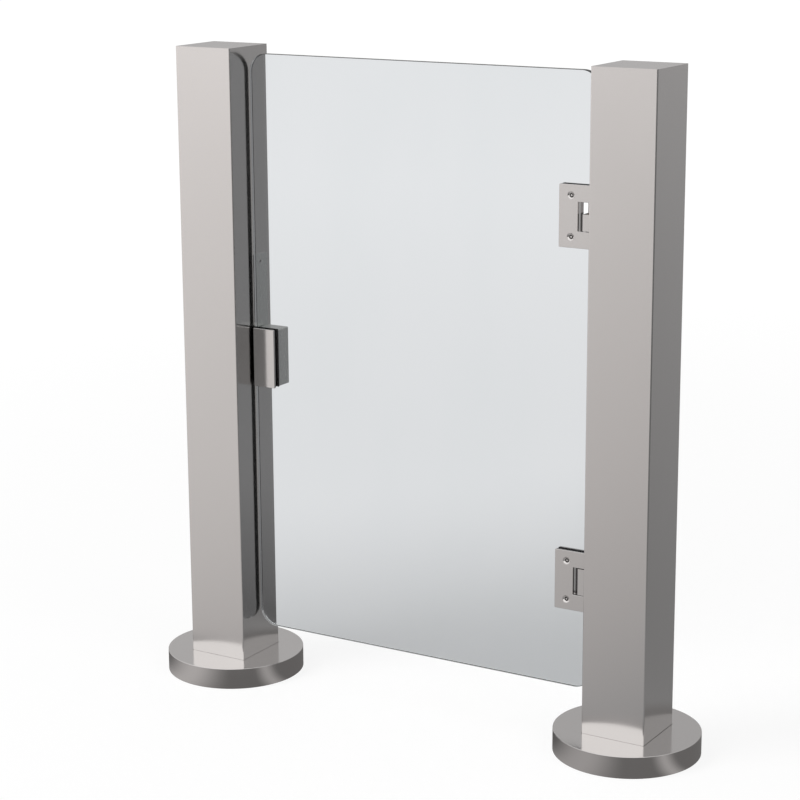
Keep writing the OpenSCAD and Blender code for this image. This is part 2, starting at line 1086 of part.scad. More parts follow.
// An open case with its bolt window, spindle boss, guide pin and lid pillars
module lock_case() {
    inside_width = lock_width - 2 * case_wall;
    inside_height = case_height - 2 * case_wall;
    floor_y = case_front + case_wall;
    color("silver")
        difference() {
            union() {
                difference() {
                    along_y(case_front, case_rim)
                        lock_outline(case_height);
                    along_y(floor_y, case_rim + overrun)
                        translate([lock_x, lock_height])
                            square([inside_width, inside_height], center = true);
                }
                at_lid_screws()
                    translate([0, floor_y, 0])
                        toward_y()
                            cylinder(d = pillar_diameter, h = case_rim - floor_y);
                translate([lock_x, floor_y, lock_height])
                    toward_y()
                        cylinder(d = journal_boss, h = journal_boss_length);
                translate([guide_slot_left, floor_y, guide_pin_z])
                    toward_y()
                        cylinder(d = guide_pin, h = bolt_y + bolt_thickness / 2 - floor_y);
            }
            along_x(lock_left - overrun, lock_left + case_wall + overrun)
                bolt_window(bolt_play);
            translate([lock_x, floor_y, lock_height])
                toward_y()
                    cylinder(r = front_journal / 2 + running_clearance, h = journal_boss_length + overrun);
            at_lock_holes()
                translate([0, case_front - overrun, 0])
                    toward_y()
                        cylinder(r = case_screw / 2 + hole_clearance, h = case_wall + 2 * overrun);
            at_lid_screws()
                translate([0, case_rim - lid_screw_length, 0])
                    toward_y()
                        tapped_hole(lid_screw, lid_screw_length + overrun);
        }
}

module lock_lid() {
    color("silver")
        difference() {
            along_y(case_rim, case_back)
                lock_outline(case_height);
            translate([lock_x, case_rim - overrun, lock_height])
                toward_y()
                    cylinder(r = back_journal / 2 + running_clearance, h = lid_thickness + 2 * overrun);
            at_lid_screws()
                translate([0, case_back, 0])
                    rotate([90, 0, 0])
                        screw_hole(lid_screw, lid_thickness + overrun);
        }
}

// Pan head screws from inside the case into the bosses of the front plate
module lock_case_screws() {
    floor_y = case_front + case_wall;
    color("gray")
        at_lock_holes()
            difference() {
                union() {
                    translate([0, -core_half + case_screw_tip, 0])
                        toward_y()
                            cylinder(d = case_screw, h = floor_y + core_half - case_screw_tip);
                    translate([0, floor_y, 0])
                        toward_y()
                            cylinder(d = case_screw_head, h = case_screw_head_height);
                }
                translate([0, floor_y + case_screw_head_height / 2, 0])
                    toward_y()
                        cylinder(d = case_screw * socket_share, h = case_screw_head_height, $fn = 6);
            }
}

module lock_lid_screws() {
    color("gray")
        at_lid_screws()
            translate([0, case_back, 0])
                rotate([90, 0, 0])
                    countersunk_screw(lid_screw, lid_screw_length);
}

module lock_rose() {
    color("silver")
        translate([lock_x, case_back, lock_height])
            toward_y()
                difference() {
                    cylinder(d = rose_diameter, h = rose_thickness);
                    translate([0, 0, -overrun])
                        cylinder(r = back_journal / 2 + seat_clearance, h = rose_thickness + 2 * overrun);
                }
}

// Half the width of a rack tooth at a height above its pitch line
function rack_half_width(height) = tooth_pitch / 4 - tooth_backlash / 4 - height * tan(pressure_angle);

// The rack hangs below the bolt, so its tips point down
module rack_tooth_gap() {
    tip = -rack_addendum_share * tooth_module;
    root = dedendum_share * tooth_module;
    gap_at_tip = tooth_pitch / 2 - rack_half_width(-tip);
    gap_at_root = tooth_pitch / 2 - rack_half_width(-root);
    polygon([
        [-gap_at_tip, tip - overrun],
        [gap_at_tip, tip - overrun],
        [gap_at_tip, tip],
        [gap_at_root, root],
        [-gap_at_root, root],
        [-gap_at_tip, tip]
    ]);
}

// The bolt, with a rack cut in its lower face and a slot for the guide pin
module lock_bolt() {
    pitch_line = lock_height + pinion_radius;
    slot = guide_pin + 2 * bolt_play;
    color("gray")
        difference() {
            along_y(bolt_y - bolt_thickness / 2, bolt_y + bolt_thickness / 2)
                difference() {
                    translate([bolt_left, bolt_z])
                        polygon([
                            [0, bolt_nose],
                            [bolt_nose, 0],
                            [bolt_length, 0],
                            [bolt_length, bolt_height],
                            [bolt_nose, bolt_height],
                            [0, bolt_height - bolt_nose]
                        ]);
                    for (tooth = [-1 : rack_tooth_count - 2])
                        translate([lock_x + tooth * tooth_pitch, pitch_line])
                            rack_tooth_gap();
                    translate([guide_slot_left, guide_pin_z]) {
                        circle(d = slot);
                        translate([0, -slot / 2])
                            square([bolt_throw, slot]);
                        translate([bolt_throw, 0])
                            circle(d = slot);
                    }
                }
        }
}

// Involute flank of the pinion, as a point at a share of its way from the base circle to the tip
involute_steps = 5;
base_radius = pinion_radius * cos(pressure_angle);
tip_radius = pinion_radius + addendum_share * tooth_module;
root_radius = pinion_radius - dedendum_share * tooth_module;
function involute_angle(radius) =
    let (unrolled = sqrt(max(0, pow(radius / base_radius, 2) - 1)))
    unrolled * 180 / PI - atan(unrolled);
function tooth_half_angle(radius) =
    90 / pinion_teeth - tooth_backlash / 4 / pinion_radius * 180 / PI
    + involute_angle(pinion_radius) - involute_angle(radius);
function flank_radius(step) = base_radius + (tip_radius - base_radius) * step / involute_steps;
function polar(radius, angle) = [radius * sin(angle), radius * cos(angle)];
function tooth_points(middle) = concat(
    [polar(root_radius, middle - tooth_half_angle(base_radius))],
    [
        for (step = [0 : involute_steps])
            polar(flank_radius(step), middle - tooth_half_angle(flank_radius(step)))
    ],
    [
        for (step = [involute_steps : -1 : 0])
            polar(flank_radius(step), middle + tooth_half_angle(flank_radius(step)))
    ],
    [polar(root_radius, middle + tooth_half_angle(base_radius))]
);

// The pinion, with one tooth pointing straight up into the rack
module pinion() {
    polygon([for (tooth = [0 : pinion_teeth - 1]) each tooth_points(tooth * 360 / pinion_teeth)]);
}

module bolt_spindle() {
    floor_y = case_front + case_wall;
    washer_back = floor_y + journal_boss_length + friction_washer_thickness + washer_gap;
    pinion_front = bolt_y - pinion_width / 2;
    pinion_back = bolt_y + pinion_width / 2;
    collar_back = case_rim - washer_gap;
    square_start = case_back + rose_thickness;
    color("gray")
        difference() {
            translate([lock_x, 0, lock_height]) {
                spindle_length(floor_y + journal_end_play, washer_back, front_journal);
                spindle_length(washer_back, pinion_front, spindle_collar);
                along_y(pinion_front, pinion_back)
                    pinion();
                spindle_length(pinion_back, collar_back, spindle_collar);
                spindle_length(collar_back, square_start, back_journal);
                along_y(square_start, square_start + square_drive_length)
                    square(square_drive, center = true);
            }
            translate([lock_x, square_start + square_drive_length + overrun, lock_height])
                rotate([90, 0, 0])
                    tapped_hole(turn_screw, turn_screw_length + overrun);
        }
}

// A round length of the spindle from one Y to another
module spindle_length(y_start, y_end, diameter) {
    translate([0, y_start, 0])
        toward_y()
            cylinder(d = diameter, h = y_end - y_start);
}

module spindle_friction_washer() {
    washer_front = case_front + case_wall + journal_boss_length;
    color("dimgray")
        translate([lock_x, washer_front, lock_height])
            toward_y()
                difference() {
                    cylinder(d = front_journal + 2 * friction_washer_wall, h = friction_washer_thickness);
                    translate([0, 0, -overrun])
                        cylinder(
                            r = front_journal / 2 + running_clearance,
                            h = friction_washer_thickness + 2 * overrun
                        );
                }
}

// The wing stands upright while the bolt is drawn back
module thumb_turn() {
    hub_front = case_back + rose_thickness + turn_gap;
    hub_back = hub_front + turn_height;
    wing_front = hub_back - turn_wing_depth_share * turn_height;
    screw_seat = case_back + rose_thickness + square_drive_length + turn_gap;
    color("silver")
        translate([lock_x, 0, lock_height])
            difference() {
                union() {
                    spindle_length(hub_front, hub_back - turn_edge, turn_hub);
                    translate([0, hub_back - turn_edge, 0])
                        toward_y()
                            cylinder(d1 = turn_hub, d2 = turn_hub - 2 * turn_edge, h = turn_edge);
                    along_y(wing_front, hub_back)
                        rounded_plate(turn_thickness, turn_length, turn_thickness * turn_round_share);
                }
                along_y(hub_front - overrun, screw_seat)
                    square(square_drive + 2 * running_clearance, center = true);
                spindle_length(hub_front, hub_back + overrun, turn_screw + 2 * hole_clearance);
                spindle_length(
                    hub_back - turn_screw_head_height - turn_gap,
                    hub_back + overrun,
                    turn_screw_head + 2 * hole_clearance
                );
            }
}

module thumb_turn_screw() {
    head_back = case_back + rose_thickness + turn_height;
    head_front = head_back - turn_screw_head_height;
    color("gray")
        translate([lock_x, 0, lock_height])
            difference() {
                union() {
                    spindle_length(head_front, head_back, turn_screw_head);
                    spindle_length(head_back - turn_screw_head_height - turn_screw_length, head_back, turn_screw);
                }
                along_y(head_back - turn_screw_head_height / 2, head_back + overrun)
                    circle(d = turn_screw * socket_share, $fn = 6);
            }
}

latch_post();
latch_post_cap();
latch_base_plate();
latch_flange_cover();
hinge_post();
hinge_post_cap();
hinge_base_plate();
hinge_flange_cover();
strike_plate();
strike_screws();
strike_box();
strike_tapped_bar();
upper_wall_plate();
upper_wall_screws();
upper_tapped_plate();
upper_knuckle_bush();
lower_wall_plate();
lower_wall_screws();
lower_tapped_plate();
lower_knuckle_bush();
lower_spring_bush();
lower_return_spring();
glass_panel();
upper_front_clamp();
upper_back_clamp();
upper_front_gasket();
upper_back_gasket();
upper_clamp_screws();
upper_pivot_pin();
upper_thrust_washer();
lower_front_clamp();
lower_back_clamp();
lower_front_gasket();
lower_back_gasket();
lower_clamp_screws();
lower_pivot_pin();
lower_thrust_washers();
lock_front_plate();
lock_front_gasket();
lock_back_gasket();
lock_case();
lock_lid();
lock_case_screws();
lock_lid_screws();
lock_rose();
lock_bolt();
bolt_spindle();
spindle_friction_washer();
thumb_turn();
thumb_turn_screw();
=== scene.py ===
import math

import bmesh
import bpy
import numpy as np
from bpy.props import FloatProperty, FloatVectorProperty, PointerProperty
from mathutils import Matrix, Vector
from mathutils.geometry import tessellate_polygon


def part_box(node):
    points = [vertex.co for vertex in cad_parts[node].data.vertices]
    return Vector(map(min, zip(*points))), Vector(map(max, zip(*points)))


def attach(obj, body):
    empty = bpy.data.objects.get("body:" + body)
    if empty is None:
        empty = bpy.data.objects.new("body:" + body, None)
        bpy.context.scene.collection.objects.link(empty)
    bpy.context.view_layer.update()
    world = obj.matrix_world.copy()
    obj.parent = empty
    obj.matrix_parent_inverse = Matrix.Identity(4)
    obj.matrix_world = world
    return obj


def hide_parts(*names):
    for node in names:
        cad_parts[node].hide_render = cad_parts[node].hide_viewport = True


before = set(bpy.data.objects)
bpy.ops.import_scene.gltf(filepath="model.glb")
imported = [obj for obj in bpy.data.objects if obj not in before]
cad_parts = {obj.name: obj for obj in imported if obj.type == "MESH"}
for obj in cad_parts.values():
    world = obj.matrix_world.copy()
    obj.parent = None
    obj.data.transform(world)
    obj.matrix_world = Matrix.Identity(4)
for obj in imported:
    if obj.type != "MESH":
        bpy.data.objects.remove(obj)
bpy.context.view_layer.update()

bl_info = {
    "name": "Glass swing barrier",
    "version": (1, 0, 0),
    "blender": (4, 5, 0),
    "location": "3D View > Sidebar > Barrier",
    "description": "Builds the visible surfaces of a glass swing barrier around its CAD frame",
    "category": "Add Mesh",
}

TURN = 2 * math.pi

# Sizes of the CAD nodes that their boxes don't tell, in metres
CLAMP_SHANK = 0.006
LID_SHANK = 0.003
STRIKE_SHANK = 0.005
HOLE_PLAY = 0.0003
WALL_PLATE = 0.006

# A face looks along an axis where this much of its normal does
ALONG = 0.9

# A face slopes away from an axis where less than this of its normal looks along it
SLOPING = 0.6

# Numbers of a Mix node's sockets when it mixes colours
MIX_FACTOR, MIX_FIRST, MIX_SECOND, MIX_RESULT = 0, 6, 7, 2

# Where local x, y and z go when local z faces a named way
FACING = {
    "up": ((1, 0, 0), (0, 1, 0), (0, 0, 1)),
    "front": ((1, 0, 0), (0, 0, 1), (0, -1, 0)),
    "back": ((-1, 0, 0), (0, 0, 1), (0, 1, 0)),
    "right": ((0, 1, 0), (0, 0, 1), (1, 0, 0)),
    "left": ((0, -1, 0), (0, 0, 1), (-1, 0, 0)),
}


# Sizes and colours


def length(name, value, about):
    """A size in metres."""
    return FloatProperty(
        name=name, description=about, default=value, min=0.0, precision=5, subtype="DISTANCE", unit="LENGTH"
    )


def share(name, value, about):
    """A number without a unit."""
    return FloatProperty(name=name, description=about, default=value, min=0.0, max=10.0, subtype="FACTOR")


def colour(name, value, about):
    """A colour of three parts."""
    return FloatVectorProperty(
        name=name, description=about, default=value, min=0.0, max=1.0, size=3, subtype="COLOR"
    )


class CoverSizes(bpy.types.PropertyGroup):
    """The round covers over the posts' feet."""

    sheet: length("Sheet", 0.002, "Thickness of the spun sheet")
    edge: length("Top edge", 0.0006, "Radius of the rolled top edge")
    inner_bend: length("Inner bend", 0.0003, "Radius of the bend inside the top edge")
    play: length("Play", 0.0004, "Gap between the cover's square hole and the post")
    lip: length("Hole edge", 0.0003, "Width of the broken edge round the square hole")


class LeafSizes(bpy.types.PropertyGroup):
    """The glass leaf."""

    corner: length("Corner", 0.028, "Radius of the leaf's four corners")
    arris: length("Arris", 0.0005, "Width of the ground edge")
    cut_out_rim: length("Cut-out rim", 0.0485, "From a cut-out's inner side to the leaf's edge")
    cut_out_half: length("Cut-out half height", 0.039, "Half the height of a hinge cut-out")
    cut_out_corner: length("Cut-out corner", 0.005, "Radius of a cut-out's inner corners")
    lock_hole: length("Lock hole", 0.0056, "Radius of the holes for the lock's bosses")
    lock_hole_height: length("Lock hole height", 0.035, "Height of a lock hole over the lock's middle")


class ClampSizes(bpy.types.PropertyGroup):
    """The hinges' clamp plates and what shows in their notches."""

    corner: length("Corner", 0.0015, "Radius of a plate's corners")
    arris: length("Arris", 0.0003, "Width of a plate's broken edges")
    notch_reach: length("Notch reach", 0.0152, "From the hinge axis to the notch's inner side")
    notch_half: length("Notch half height", 0.021, "Half the height of the notch")
    screw_inset: length("Screw inset", 0.0188, "From the plate's free edge to the screws")
    screw_height: length("Screw height", 0.0295, "Height of a screw over the hinge's middle")
    saddle_top: length("Saddle top", 0.0363, "Height of a pin saddle's end over the hinge's middle")
    pin_radius: length("Pin radius", 0.003, "Radius of the pivot pin")
    washer_radius: length("Washer radius", 0.0065, "Radius of a thrust washer")
    washer: length("Washer", 0.0009, "Thickness of a thrust washer")
    # The knuckle's top is painted dark as shade out to this reach
    end_reach: length("Knuckle end", 0.0115, "How far past the axis the knuckle's end is blackened")


class ScrewSizes(bpy.types.PropertyGroup):
    """Countersunk screws, as shares of the shank's diameter."""

    head: share("Head", 1.9, "Diameter of the head over that of the shank")
    cone: share("Cone", 0.45, "Height of the head's cone over the shank's diameter")
    dish: share("Dish", 1.22, "Diameter of the dish's floor over the shank's diameter")
    dish_depth: share("Dish depth", 0.18, "Depth of the dished head over the shank's diameter")
    socket: share("Socket", 1.14, "Socket across its corners over the shank's diameter")
    socket_depth: share("Socket depth", 0.28, "Depth of the socket over the shank's diameter")
    pin: share("Pin", 0.5, "Diameter of the pin in the socket over the shank's diameter")
    flush_head: share("Flush head", 1.7, "Diameter of a strike screw's head over that of its shank")
    sunk: length("Sunk", 0.0006, "How far a clamp or wall screw's head lies below the plate's face")
    play: length("Play", 0.0001, "Gap between a head and its seat")


class LockSizes(bpy.types.PropertyGroup):
    """The lock on the leaf's free edge."""

    boss: length("Boss", 0.005, "Radius of the front plate's bosses")
    boss_height: length("Boss height", 0.035, "Height of a boss over the lock's middle")
    boss_hole: length("Boss hole", 0.00255, "Radius of the tapped hole in a boss")
    corner: length("Plate corner", 0.0008, "Radius of the front plate's corners")
    arris: length("Arris", 0.00035, "Width of the front plate's broken edges")
    gasket_lip: length("Gasket lip", 0.0015, "How far the back gasket stands out over and beside the case")
    hub: length("Hub", 0.009, "Radius of the thumb turn's hub")
    hub_round: length("Hub rounding", 0.001, "Radius along the hub's outer edge")
    wing: length("Wing", 0.007, "Thickness of the thumb turn's wing")
    wing_rise: length("Wing rise", 0.0104, "How far the wing stands out of the hub's front part")
    wing_round: length("Wing rounding", 0.0012, "Radius along the wing's outer edge")
    rose_bore: length("Rose bore", 0.0042, "Radius of the hole in the rose")
    rose_round: length("Rose rounding", 0.0008, "Radius along the rose's outer edge")


class EdgeSizes(bpy.types.PropertyGroup):
    """Widths of the edges broken on the parts that keep their CAD shape."""

    base_plate: length("Base plate", 0.0006, "Broken edges of the base plates")
    hinge: length("Hinge", 0.0003, "Broken edges of the hinges' back clamps and wall plates")
    tapped: length("Tapped plate", 0.0002, "Broken edges of the tapped plates and the tapped bar")
    case: length("Lock case", 0.0005, "Broken edges of the lock's case and lid")
    bolt: length("Bolt", 0.00015, "Broken edges of the bolt")
    strike: length("Strike", 0.0003, "Broken edges of the strike plate")


class Finishes(bpy.types.PropertyGroup):
    """Colours of the materials, as seen under plain light."""

    polished: colour("Polished steel", (0.78, 0.765, 0.755), "Mirror polished stainless steel")
    plate: colour("Polished sheet", (0.785, 0.772, 0.763), "Polished steel of the covers and the fittings")
    satin: colour("Satin steel", (0.80, 0.815, 0.80), "Satin stainless steel of the lock and the strike")
    milled: colour("Milled steel", (0.42, 0.41, 0.40), "Bare milled steel of the base plates")
    glass: colour("Glass", (0.985, 1.0, 1.0), "Hue of the clear glass")
    # The glass edge colour is painted shade
    glass_edge: colour("Glass edge", (0.004, 0.005, 0.005), "Polished edge of the glass")
    glass_foot: colour("Glass foot", (0.90, 0.97, 0.95), "The same at the leaf's foot, lit by the floor")
    # The socket colour is painted shade for sockets, the strike plate's front and the knuckles' tops
    socket: colour("Socket", (0.03, 0.03, 0.032), "Blackened walls of a screw's socket")
    # The notch colour is painted shade on the notches' walls
    notch: colour("Notch", (0.15, 0.14, 0.138), "Cut walls of the notches in the hinges' plates")
    rubber: colour("Gasket", (0.012, 0.012, 0.013), "Black gasket rubber")
    bronze: colour("Bronze", (0.52, 0.31, 0.14), "Sintered bronze of the bushes")
    spring: colour("Spring steel", (0.20, 0.19, 0.185), "Oiled spring steel")
    plastic: colour("Plastic", (0.03, 0.03, 0.032), "Black plastic of the thrust washers")


class StageSizes(bpy.types.PropertyGroup):
    """Camera, floor and light."""

    focal: length("Focal length", 0.10106, "Focal length on a 36 mm sensor")
    distance: length("Distance", 3.3818, "From the camera to the point that it looks at")
    floor: length("Floor", 60.0, "Radius of the floor")
    key: share("Key light", 0.42, "Share of plain light from the key lamp")
    fill: share("Fill light", 0.16, "Share of plain light from the fill lamp")
    ambient: share("Ambient light", 0.5, "Share of plain light from all round")


class BarrierSettings(bpy.types.PropertyGroup):
    """All sizes and colours of the visual model."""

    cover: PointerProperty(type=CoverSizes)
    leaf: PointerProperty(type=LeafSizes)
    clamp: PointerProperty(type=ClampSizes)
    screw: PointerProperty(type=ScrewSizes)
    lock: PointerProperty(type=LockSizes)
    edges: PointerProperty(type=EdgeSizes)
    finish: PointerProperty(type=Finishes)
    stage: PointerProperty(type=StageSizes)


def settings():
    """The sizes and colours as they stand now."""
    return bpy.context.scene.barrier


# Surfaces


def placed(points, facing, centre):
    """Local points turned so that local z faces a named way, then moved to a centre."""
    return np.asarray(points, float) @ np.array(FACING[facing], float) + np.array(centre, float)


def grid(rows, closed=False):
    """Points and four-sided faces of rows of points, each row a ring. A closed grid joins its last row to
    its first. Faces come as a list of arrays, with a row of point numbers for each face."""
    count, around = rows.shape[:2]
    index = np.arange(count * around).reshape(count, around)
    if closed:
        index = np.vstack([index, index[:1]])
    index = np.hstack([index, index[:, :1]])
    faces = np.stack([index[:-1, :-1], index[:-1, 1:], index[1:, 1:], index[1:, :-1]], axis=-1)
    return rows.reshape(-1, 3), [faces.reshape(-1, 4)]


def joined(shells):
    """Surfaces as one: their points in a row, and their faces' numbers raised by the points before."""
    starts = np.cumsum([0] + [len(points) for points, _ in shells])
    faces = [block + start for (_, blocks), start in zip(shells, starts) for block in blocks]
    return np.vstack([points for points, _ in shells]), faces


def angles(count):
    """A full turn in equal steps, in radians."""
    return np.arange(count) * TURN / count


def polygon_radius(angle, half_width, sides):
    """Distance from the middle of a regular polygon to its side: half its width over the cosine of the
    angle from the side's middle."""
    part = TURN / sides
    return half_width / np.cos((angle + part / 2) % part - part / 2)


def socket_radius(angle, corner):
    """Distance from the middle of a six-sided socket to its side, from the distance to its corners."""
    return polygon_radius(angle, corner * math.cos(math.pi / 6), 6)


def spun(profile, around=96, facing="up", centre=(0, 0, 0), closed=False):
    """A profile of (radius, height) turned about local z. A radius may be a number or a value for each
    angle, and the point at an angle is (radius cos, radius sin, height)."""
    angle = angles(around)
    radius = np.array([np.broadcast_to(out, angle.shape) for out, _ in profile])
    height = np.array([np.broadcast_to(up, angle.shape) for _, up in profile])
    rows = np.stack([radius * np.cos(angle), radius * np.sin(angle), height], axis=-1)
    points, faces = grid(rows, closed)
    return placed(points, facing, centre), faces


def arc(middle, radius, start, end, steps=6):
    """Points of a profile on an arc: the middle plus the radius at angles from start to end, in degrees."""
    at = np.radians(np.linspace(start, end, steps + 1))
    return [(middle[0] + out, middle[1] + up) for out, up in zip(radius * np.cos(at), radius * np.sin(at))]


def filleted(corners, radii, steps=8):
    """A polygon with rounded corners. Each arc runs between the points where a circle of the corner's
    radius touches both sides, evenly in angle: the blend of its first and last spokes by sines."""
    outline = []
    for number, (corner, radius) in enumerate(zip(corners, radii)):
        here = np.array(corner, float)
        if not radius:
            outline.append(here[None])
            continue
        before = np.array(corners[number - 1], float) - here
        after = np.array(corners[(number + 1) % len(corners)], float) - here
        before /= np.linalg.norm(before)
        after /= np.linalg.norm(after)
        half = math.acos(max(-1.0, min(1.0, before @ after))) / 2
        bisector = (before + after) / np.linalg.norm(before + after)
        middle = here + bisector * radius / math.sin(half)
        first = here + before * radius / math.tan(half) - middle
        last = here + after * radius / math.tan(half) - middle
        sweep = math.pi - 2 * half
        part = np.linspace(0, 1, steps + 1)[:, None]
        spokes = first * np.sin((1 - part) * sweep) + last * np.sin(part * sweep)
        outline.append(middle + spokes / math.sin(sweep))
    return np.vstack(outline)


def rectangle(width, height, radius, steps):
    """A rectangle round the middle, with rounded corners."""
    across, up = width / 2, height / 2
    return filleted([(-across, -up), (across, -up), (across, up), (-across, up)], [radius] * 4, steps)


def circle(radius, centre=(0, 0), around=48):
    """A round hole's outline. It runs clockwise, so its left side is the material."""
    angle = -angles(around)
    return np.stack([centre[0] + radius * np.cos(angle), centre[1] + radius * np.sin(angle)], axis=-1)


def moved_in(outline, inset):
    """An outline moved to its left: each point goes along the bisector of its two sides' normals, so that
    every side moves by the inset."""
    along = np.roll(outline, -1, 0) - outline
    along /= np.linalg.norm(along, axis=1, keepdims=True)
    ahead = np.stack([-along[:, 1], along[:, 0]], axis=-1)
    behind = np.roll(ahead, 1, 0)
    return outline + inset * (ahead + behind) / (1 + (ahead * behind).sum(1, keepdims=True))


def slab(loops, facing="front", centre=(0, 0, 0)):
    """A plate bounded by outlines, the first its outer edge and the others holes. Each comes with a profile
    of (inset, height), and its wall at a height is the outline moved in by the inset."""
    walls = []
    for outline, profile in loops:
        rings = [np.c_[moved_in(outline, inset), np.full(len(outline), up)] for inset, up in profile]
        walls.append(grid(np.array(rings)))
    points, faces = joined(walls)
    flat = points * (1, 1, 0)
    starts = [block.min() for block in faces]
    stops = [block.max() + 1 for block in faces]
    first_rings = [np.arange(start, start + len(outline)) for start, (outline, _) in zip(starts, loops)]
    last_rings = [np.arange(stop - len(outline), stop) for stop, (outline, _) in zip(stops, loops)]
    for rings in (first_rings, last_rings):
        threes = tessellate_polygon([flat[ring].tolist() for ring in rings])
        faces.append(np.concatenate(rings)[np.array(threes)])
    return placed(points, facing, centre), faces


def broken_edges(bottom, top, width):
    """A wall's profile with a small flat broken off both its edges."""
    return [(width, bottom), (0, bottom + width), (0, top - width), (width, top)]


def screw(shank, reach, facing, centre, sunk=None):
    """A countersunk screw along local z, from its seat's face at height 0 down to its reach. It is spun
    from the tip up the shank, out along the cone, in over the dished head to a six-sided socket that
    narrows downwards, and up again to the flat top of its pin."""
    size = settings().screw
    sunk = size.sunk if sunk is None else sunk
    around, edge = 96, 0.0002
    head, rim, pin = shank * size.head / 2, shank * size.dish / 2, shank * size.pin / 2
    corner = socket_radius(angles(around), shank * size.socket / 2)
    dish = -sunk - shank * size.dish_depth
    floor = dish - shank * size.socket_depth
    profile = [
        (0, -reach),
        (shank / 2 - 2 * edge, -reach),
        (shank / 2, -reach + 2 * edge),
        (shank / 2, -sunk - shank * size.cone),
        (head - edge / 4, -sunk - edge),
        (head, -sunk - edge / 2),
        (head - edge / 2, -sunk),
        (head - 2 * edge, -sunk),
        (rim, dish),
        (corner + edge / 2, dish),
        (corner, dish - edge / 2),
        ((corner + 2 * pin) / 3 + edge, floor),
        (pin, dish - edge),
        (0, dish - edge),
    ]
    return spun(profile, around, facing, centre)


def seat(shank, thickness):
    """A countersunk hole's profile from a plate's back to its face, as insets from the shank's hole."""
    size = settings().screw
    lip = 0.00012
    wide = shank * size.head / 2 + size.play - (shank / 2 + HOLE_PLAY)
    cone_top = thickness - size.sunk
    cone_foot = max(cone_top - shank * size.cone, lip)
    return [(0, 0), (0, cone_foot), (wide, cone_top), (wide, thickness - lip), (wide + lip, thickness)]


# Pieces


def second_finish(mesh, name, chosen):
    """Gives some faces a second finish. They are chosen by their normals and middles, which come as one row
    for each face."""
    mesh.materials.append(finish(name))
    normal, middle = np.zeros(len(mesh.polygons) * 3), np.zeros(len(mesh.polygons) * 3)
    mesh.polygons.foreach_get("normal", normal)
    mesh.polygons.foreach_get("center", middle)
    chosen_faces = chosen(normal.reshape(-1, 3), middle.reshape(-1, 3))
    mesh.polygons.foreach_set("material_index", chosen_faces.astype(np.int32))


def rule_normals(piece):
    """Lets a piece's large faces set its normals."""
    normals = piece.modifiers.new("Normals", "WEIGHTED_NORMAL")
    normals.mode = "FACE_AREA"
    normals.weight = 90
    normals.keep_sharp = True


def closed_mesh(name, shells):
    """A mesh from surfaces, each (points, faces). The doubled points of its seams and poles are merged, and
    its faces are turned outwards."""
    points, faces = joined(shells)
    mesh = bpy.data.meshes.new(name)
    mesh.from_pydata(points.tolist(), [], sum([block.tolist() for block in faces], []))
    work = bmesh.new()
    work.from_mesh(mesh)
    bmesh.ops.remove_doubles(work, verts=work.verts, dist=1e-6)
    bmesh.ops.dissolve_degenerate(work, edges=work.edges, dist=1e-7)
    bmesh.ops.recalc_face_normals(work, faces=work.faces)
    work.to_mesh(mesh)
    work.free()
    return mesh


def make(name, shells, nodes, body, finishes):
    """A piece from surfaces. It rides on a body, stands for CAD nodes, which it hides, and takes a finish
    by name.
    """
    mesh = closed_mesh(name, shells)
    mesh.shade_smooth()
    mesh.set_sharp_from_angle(angle=math.radians(33))
    mesh.materials.append(finish(finishes))
    piece = bpy.data.objects.new(name, mesh)
    bpy.context.scene.collection.objects.link(piece)
    rule_normals(piece)
    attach(piece, body)
    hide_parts(*nodes)
    return piece


def dress(node, finishes, arris=0.0):
    """Gives a CAD node that keeps its own shape a finish, smooth shading and, where a width is given,
    broken edges."""
    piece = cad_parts[node]
    mesh = piece.data
    mesh.materials.clear()
    mesh.materials.append(finish(finishes))
    mesh.polygons.foreach_set("material_index", np.zeros(len(mesh.polygons), np.int32))
    if "custom_normal" in mesh.attributes:
        mesh.attributes.remove(mesh.attributes["custom_normal"])
    mesh.shade_smooth()
    weld = piece.modifiers.new("Weld", "WELD")
    weld.merge_threshold = 2e-6
    if arris:
        bevel = piece.modifiers.new("Arris", "BEVEL")
        bevel.width = arris
        bevel.segments = 2
        bevel.limit_method = "ANGLE"
        bevel.angle_limit = math.radians(40)
    else:
        split = piece.modifiers.new("Split", "EDGE_SPLIT")
        split.split_angle = math.radians(35)
    rule_normals(piece)


def corners(node):
    """A node's lowest and highest corners."""
    low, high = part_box(node)
    return np.array(low), np.array(high)


def middle_of(node):
    """The middle of a node's box."""
    low, high = corners(node)
    return (low + high) / 2


# Finishes


class Value:
    """An output of a material's nodes. Sums, products and the like on numbers add Math nodes."""

    def __init__(self, nodes, socket):
        self.nodes = nodes
        self.socket = socket

    def maths(self, operation, *values):
        return self.nodes.add("ShaderNodeMath", {"operation": operation}, dict(enumerate(values)))

    def __add__(self, other):
        return self.maths("ADD", self, other)

    __radd__ = __add__

    def __sub__(self, other):
        return self.maths("SUBTRACT", self, other)

    def __rsub__(self, other):
        return self.maths("SUBTRACT", other, self)

    def __mul__(self, other):
        return self.maths("MULTIPLY", self, other)

    __rmul__ = __mul__

    def __truediv__(self, other):
        return self.maths("DIVIDE", self, other)

    def __rtruediv__(self, other):
        return self.maths("DIVIDE", other, self)

    def __pow__(self, other):
        return self.maths("POWER", self, other)

    def __rpow__(self, other):
        return self.maths("POWER", other, self)

    def log(self):
        return self.maths("LOGARITHM", self, math.e)

    def at_least(self, other):
        return self.maths("MAXIMUM", self, other)

    def at_most(self, other):
        return self.maths("MINIMUM", self, other)

    def above(self, other):
        return self.maths("GREATER_THAN", self, other)

    def direction(self, across):
        """The angle of the point (across, this value) in degrees."""
        return self.maths("ARCTAN2", self, across) * (360 / TURN)

    def eased(self, low, high, start=0.0, end=1.0):
        """From start at low to end at high, with soft ends."""
        return self.nodes.add(
            "ShaderNodeMapRange",
            {"interpolation_type": "SMOOTHSTEP", "clamp": True},
            {"Value": self, "From Min": low, "From Max": high, "To Min": start, "To Max": end},
        )


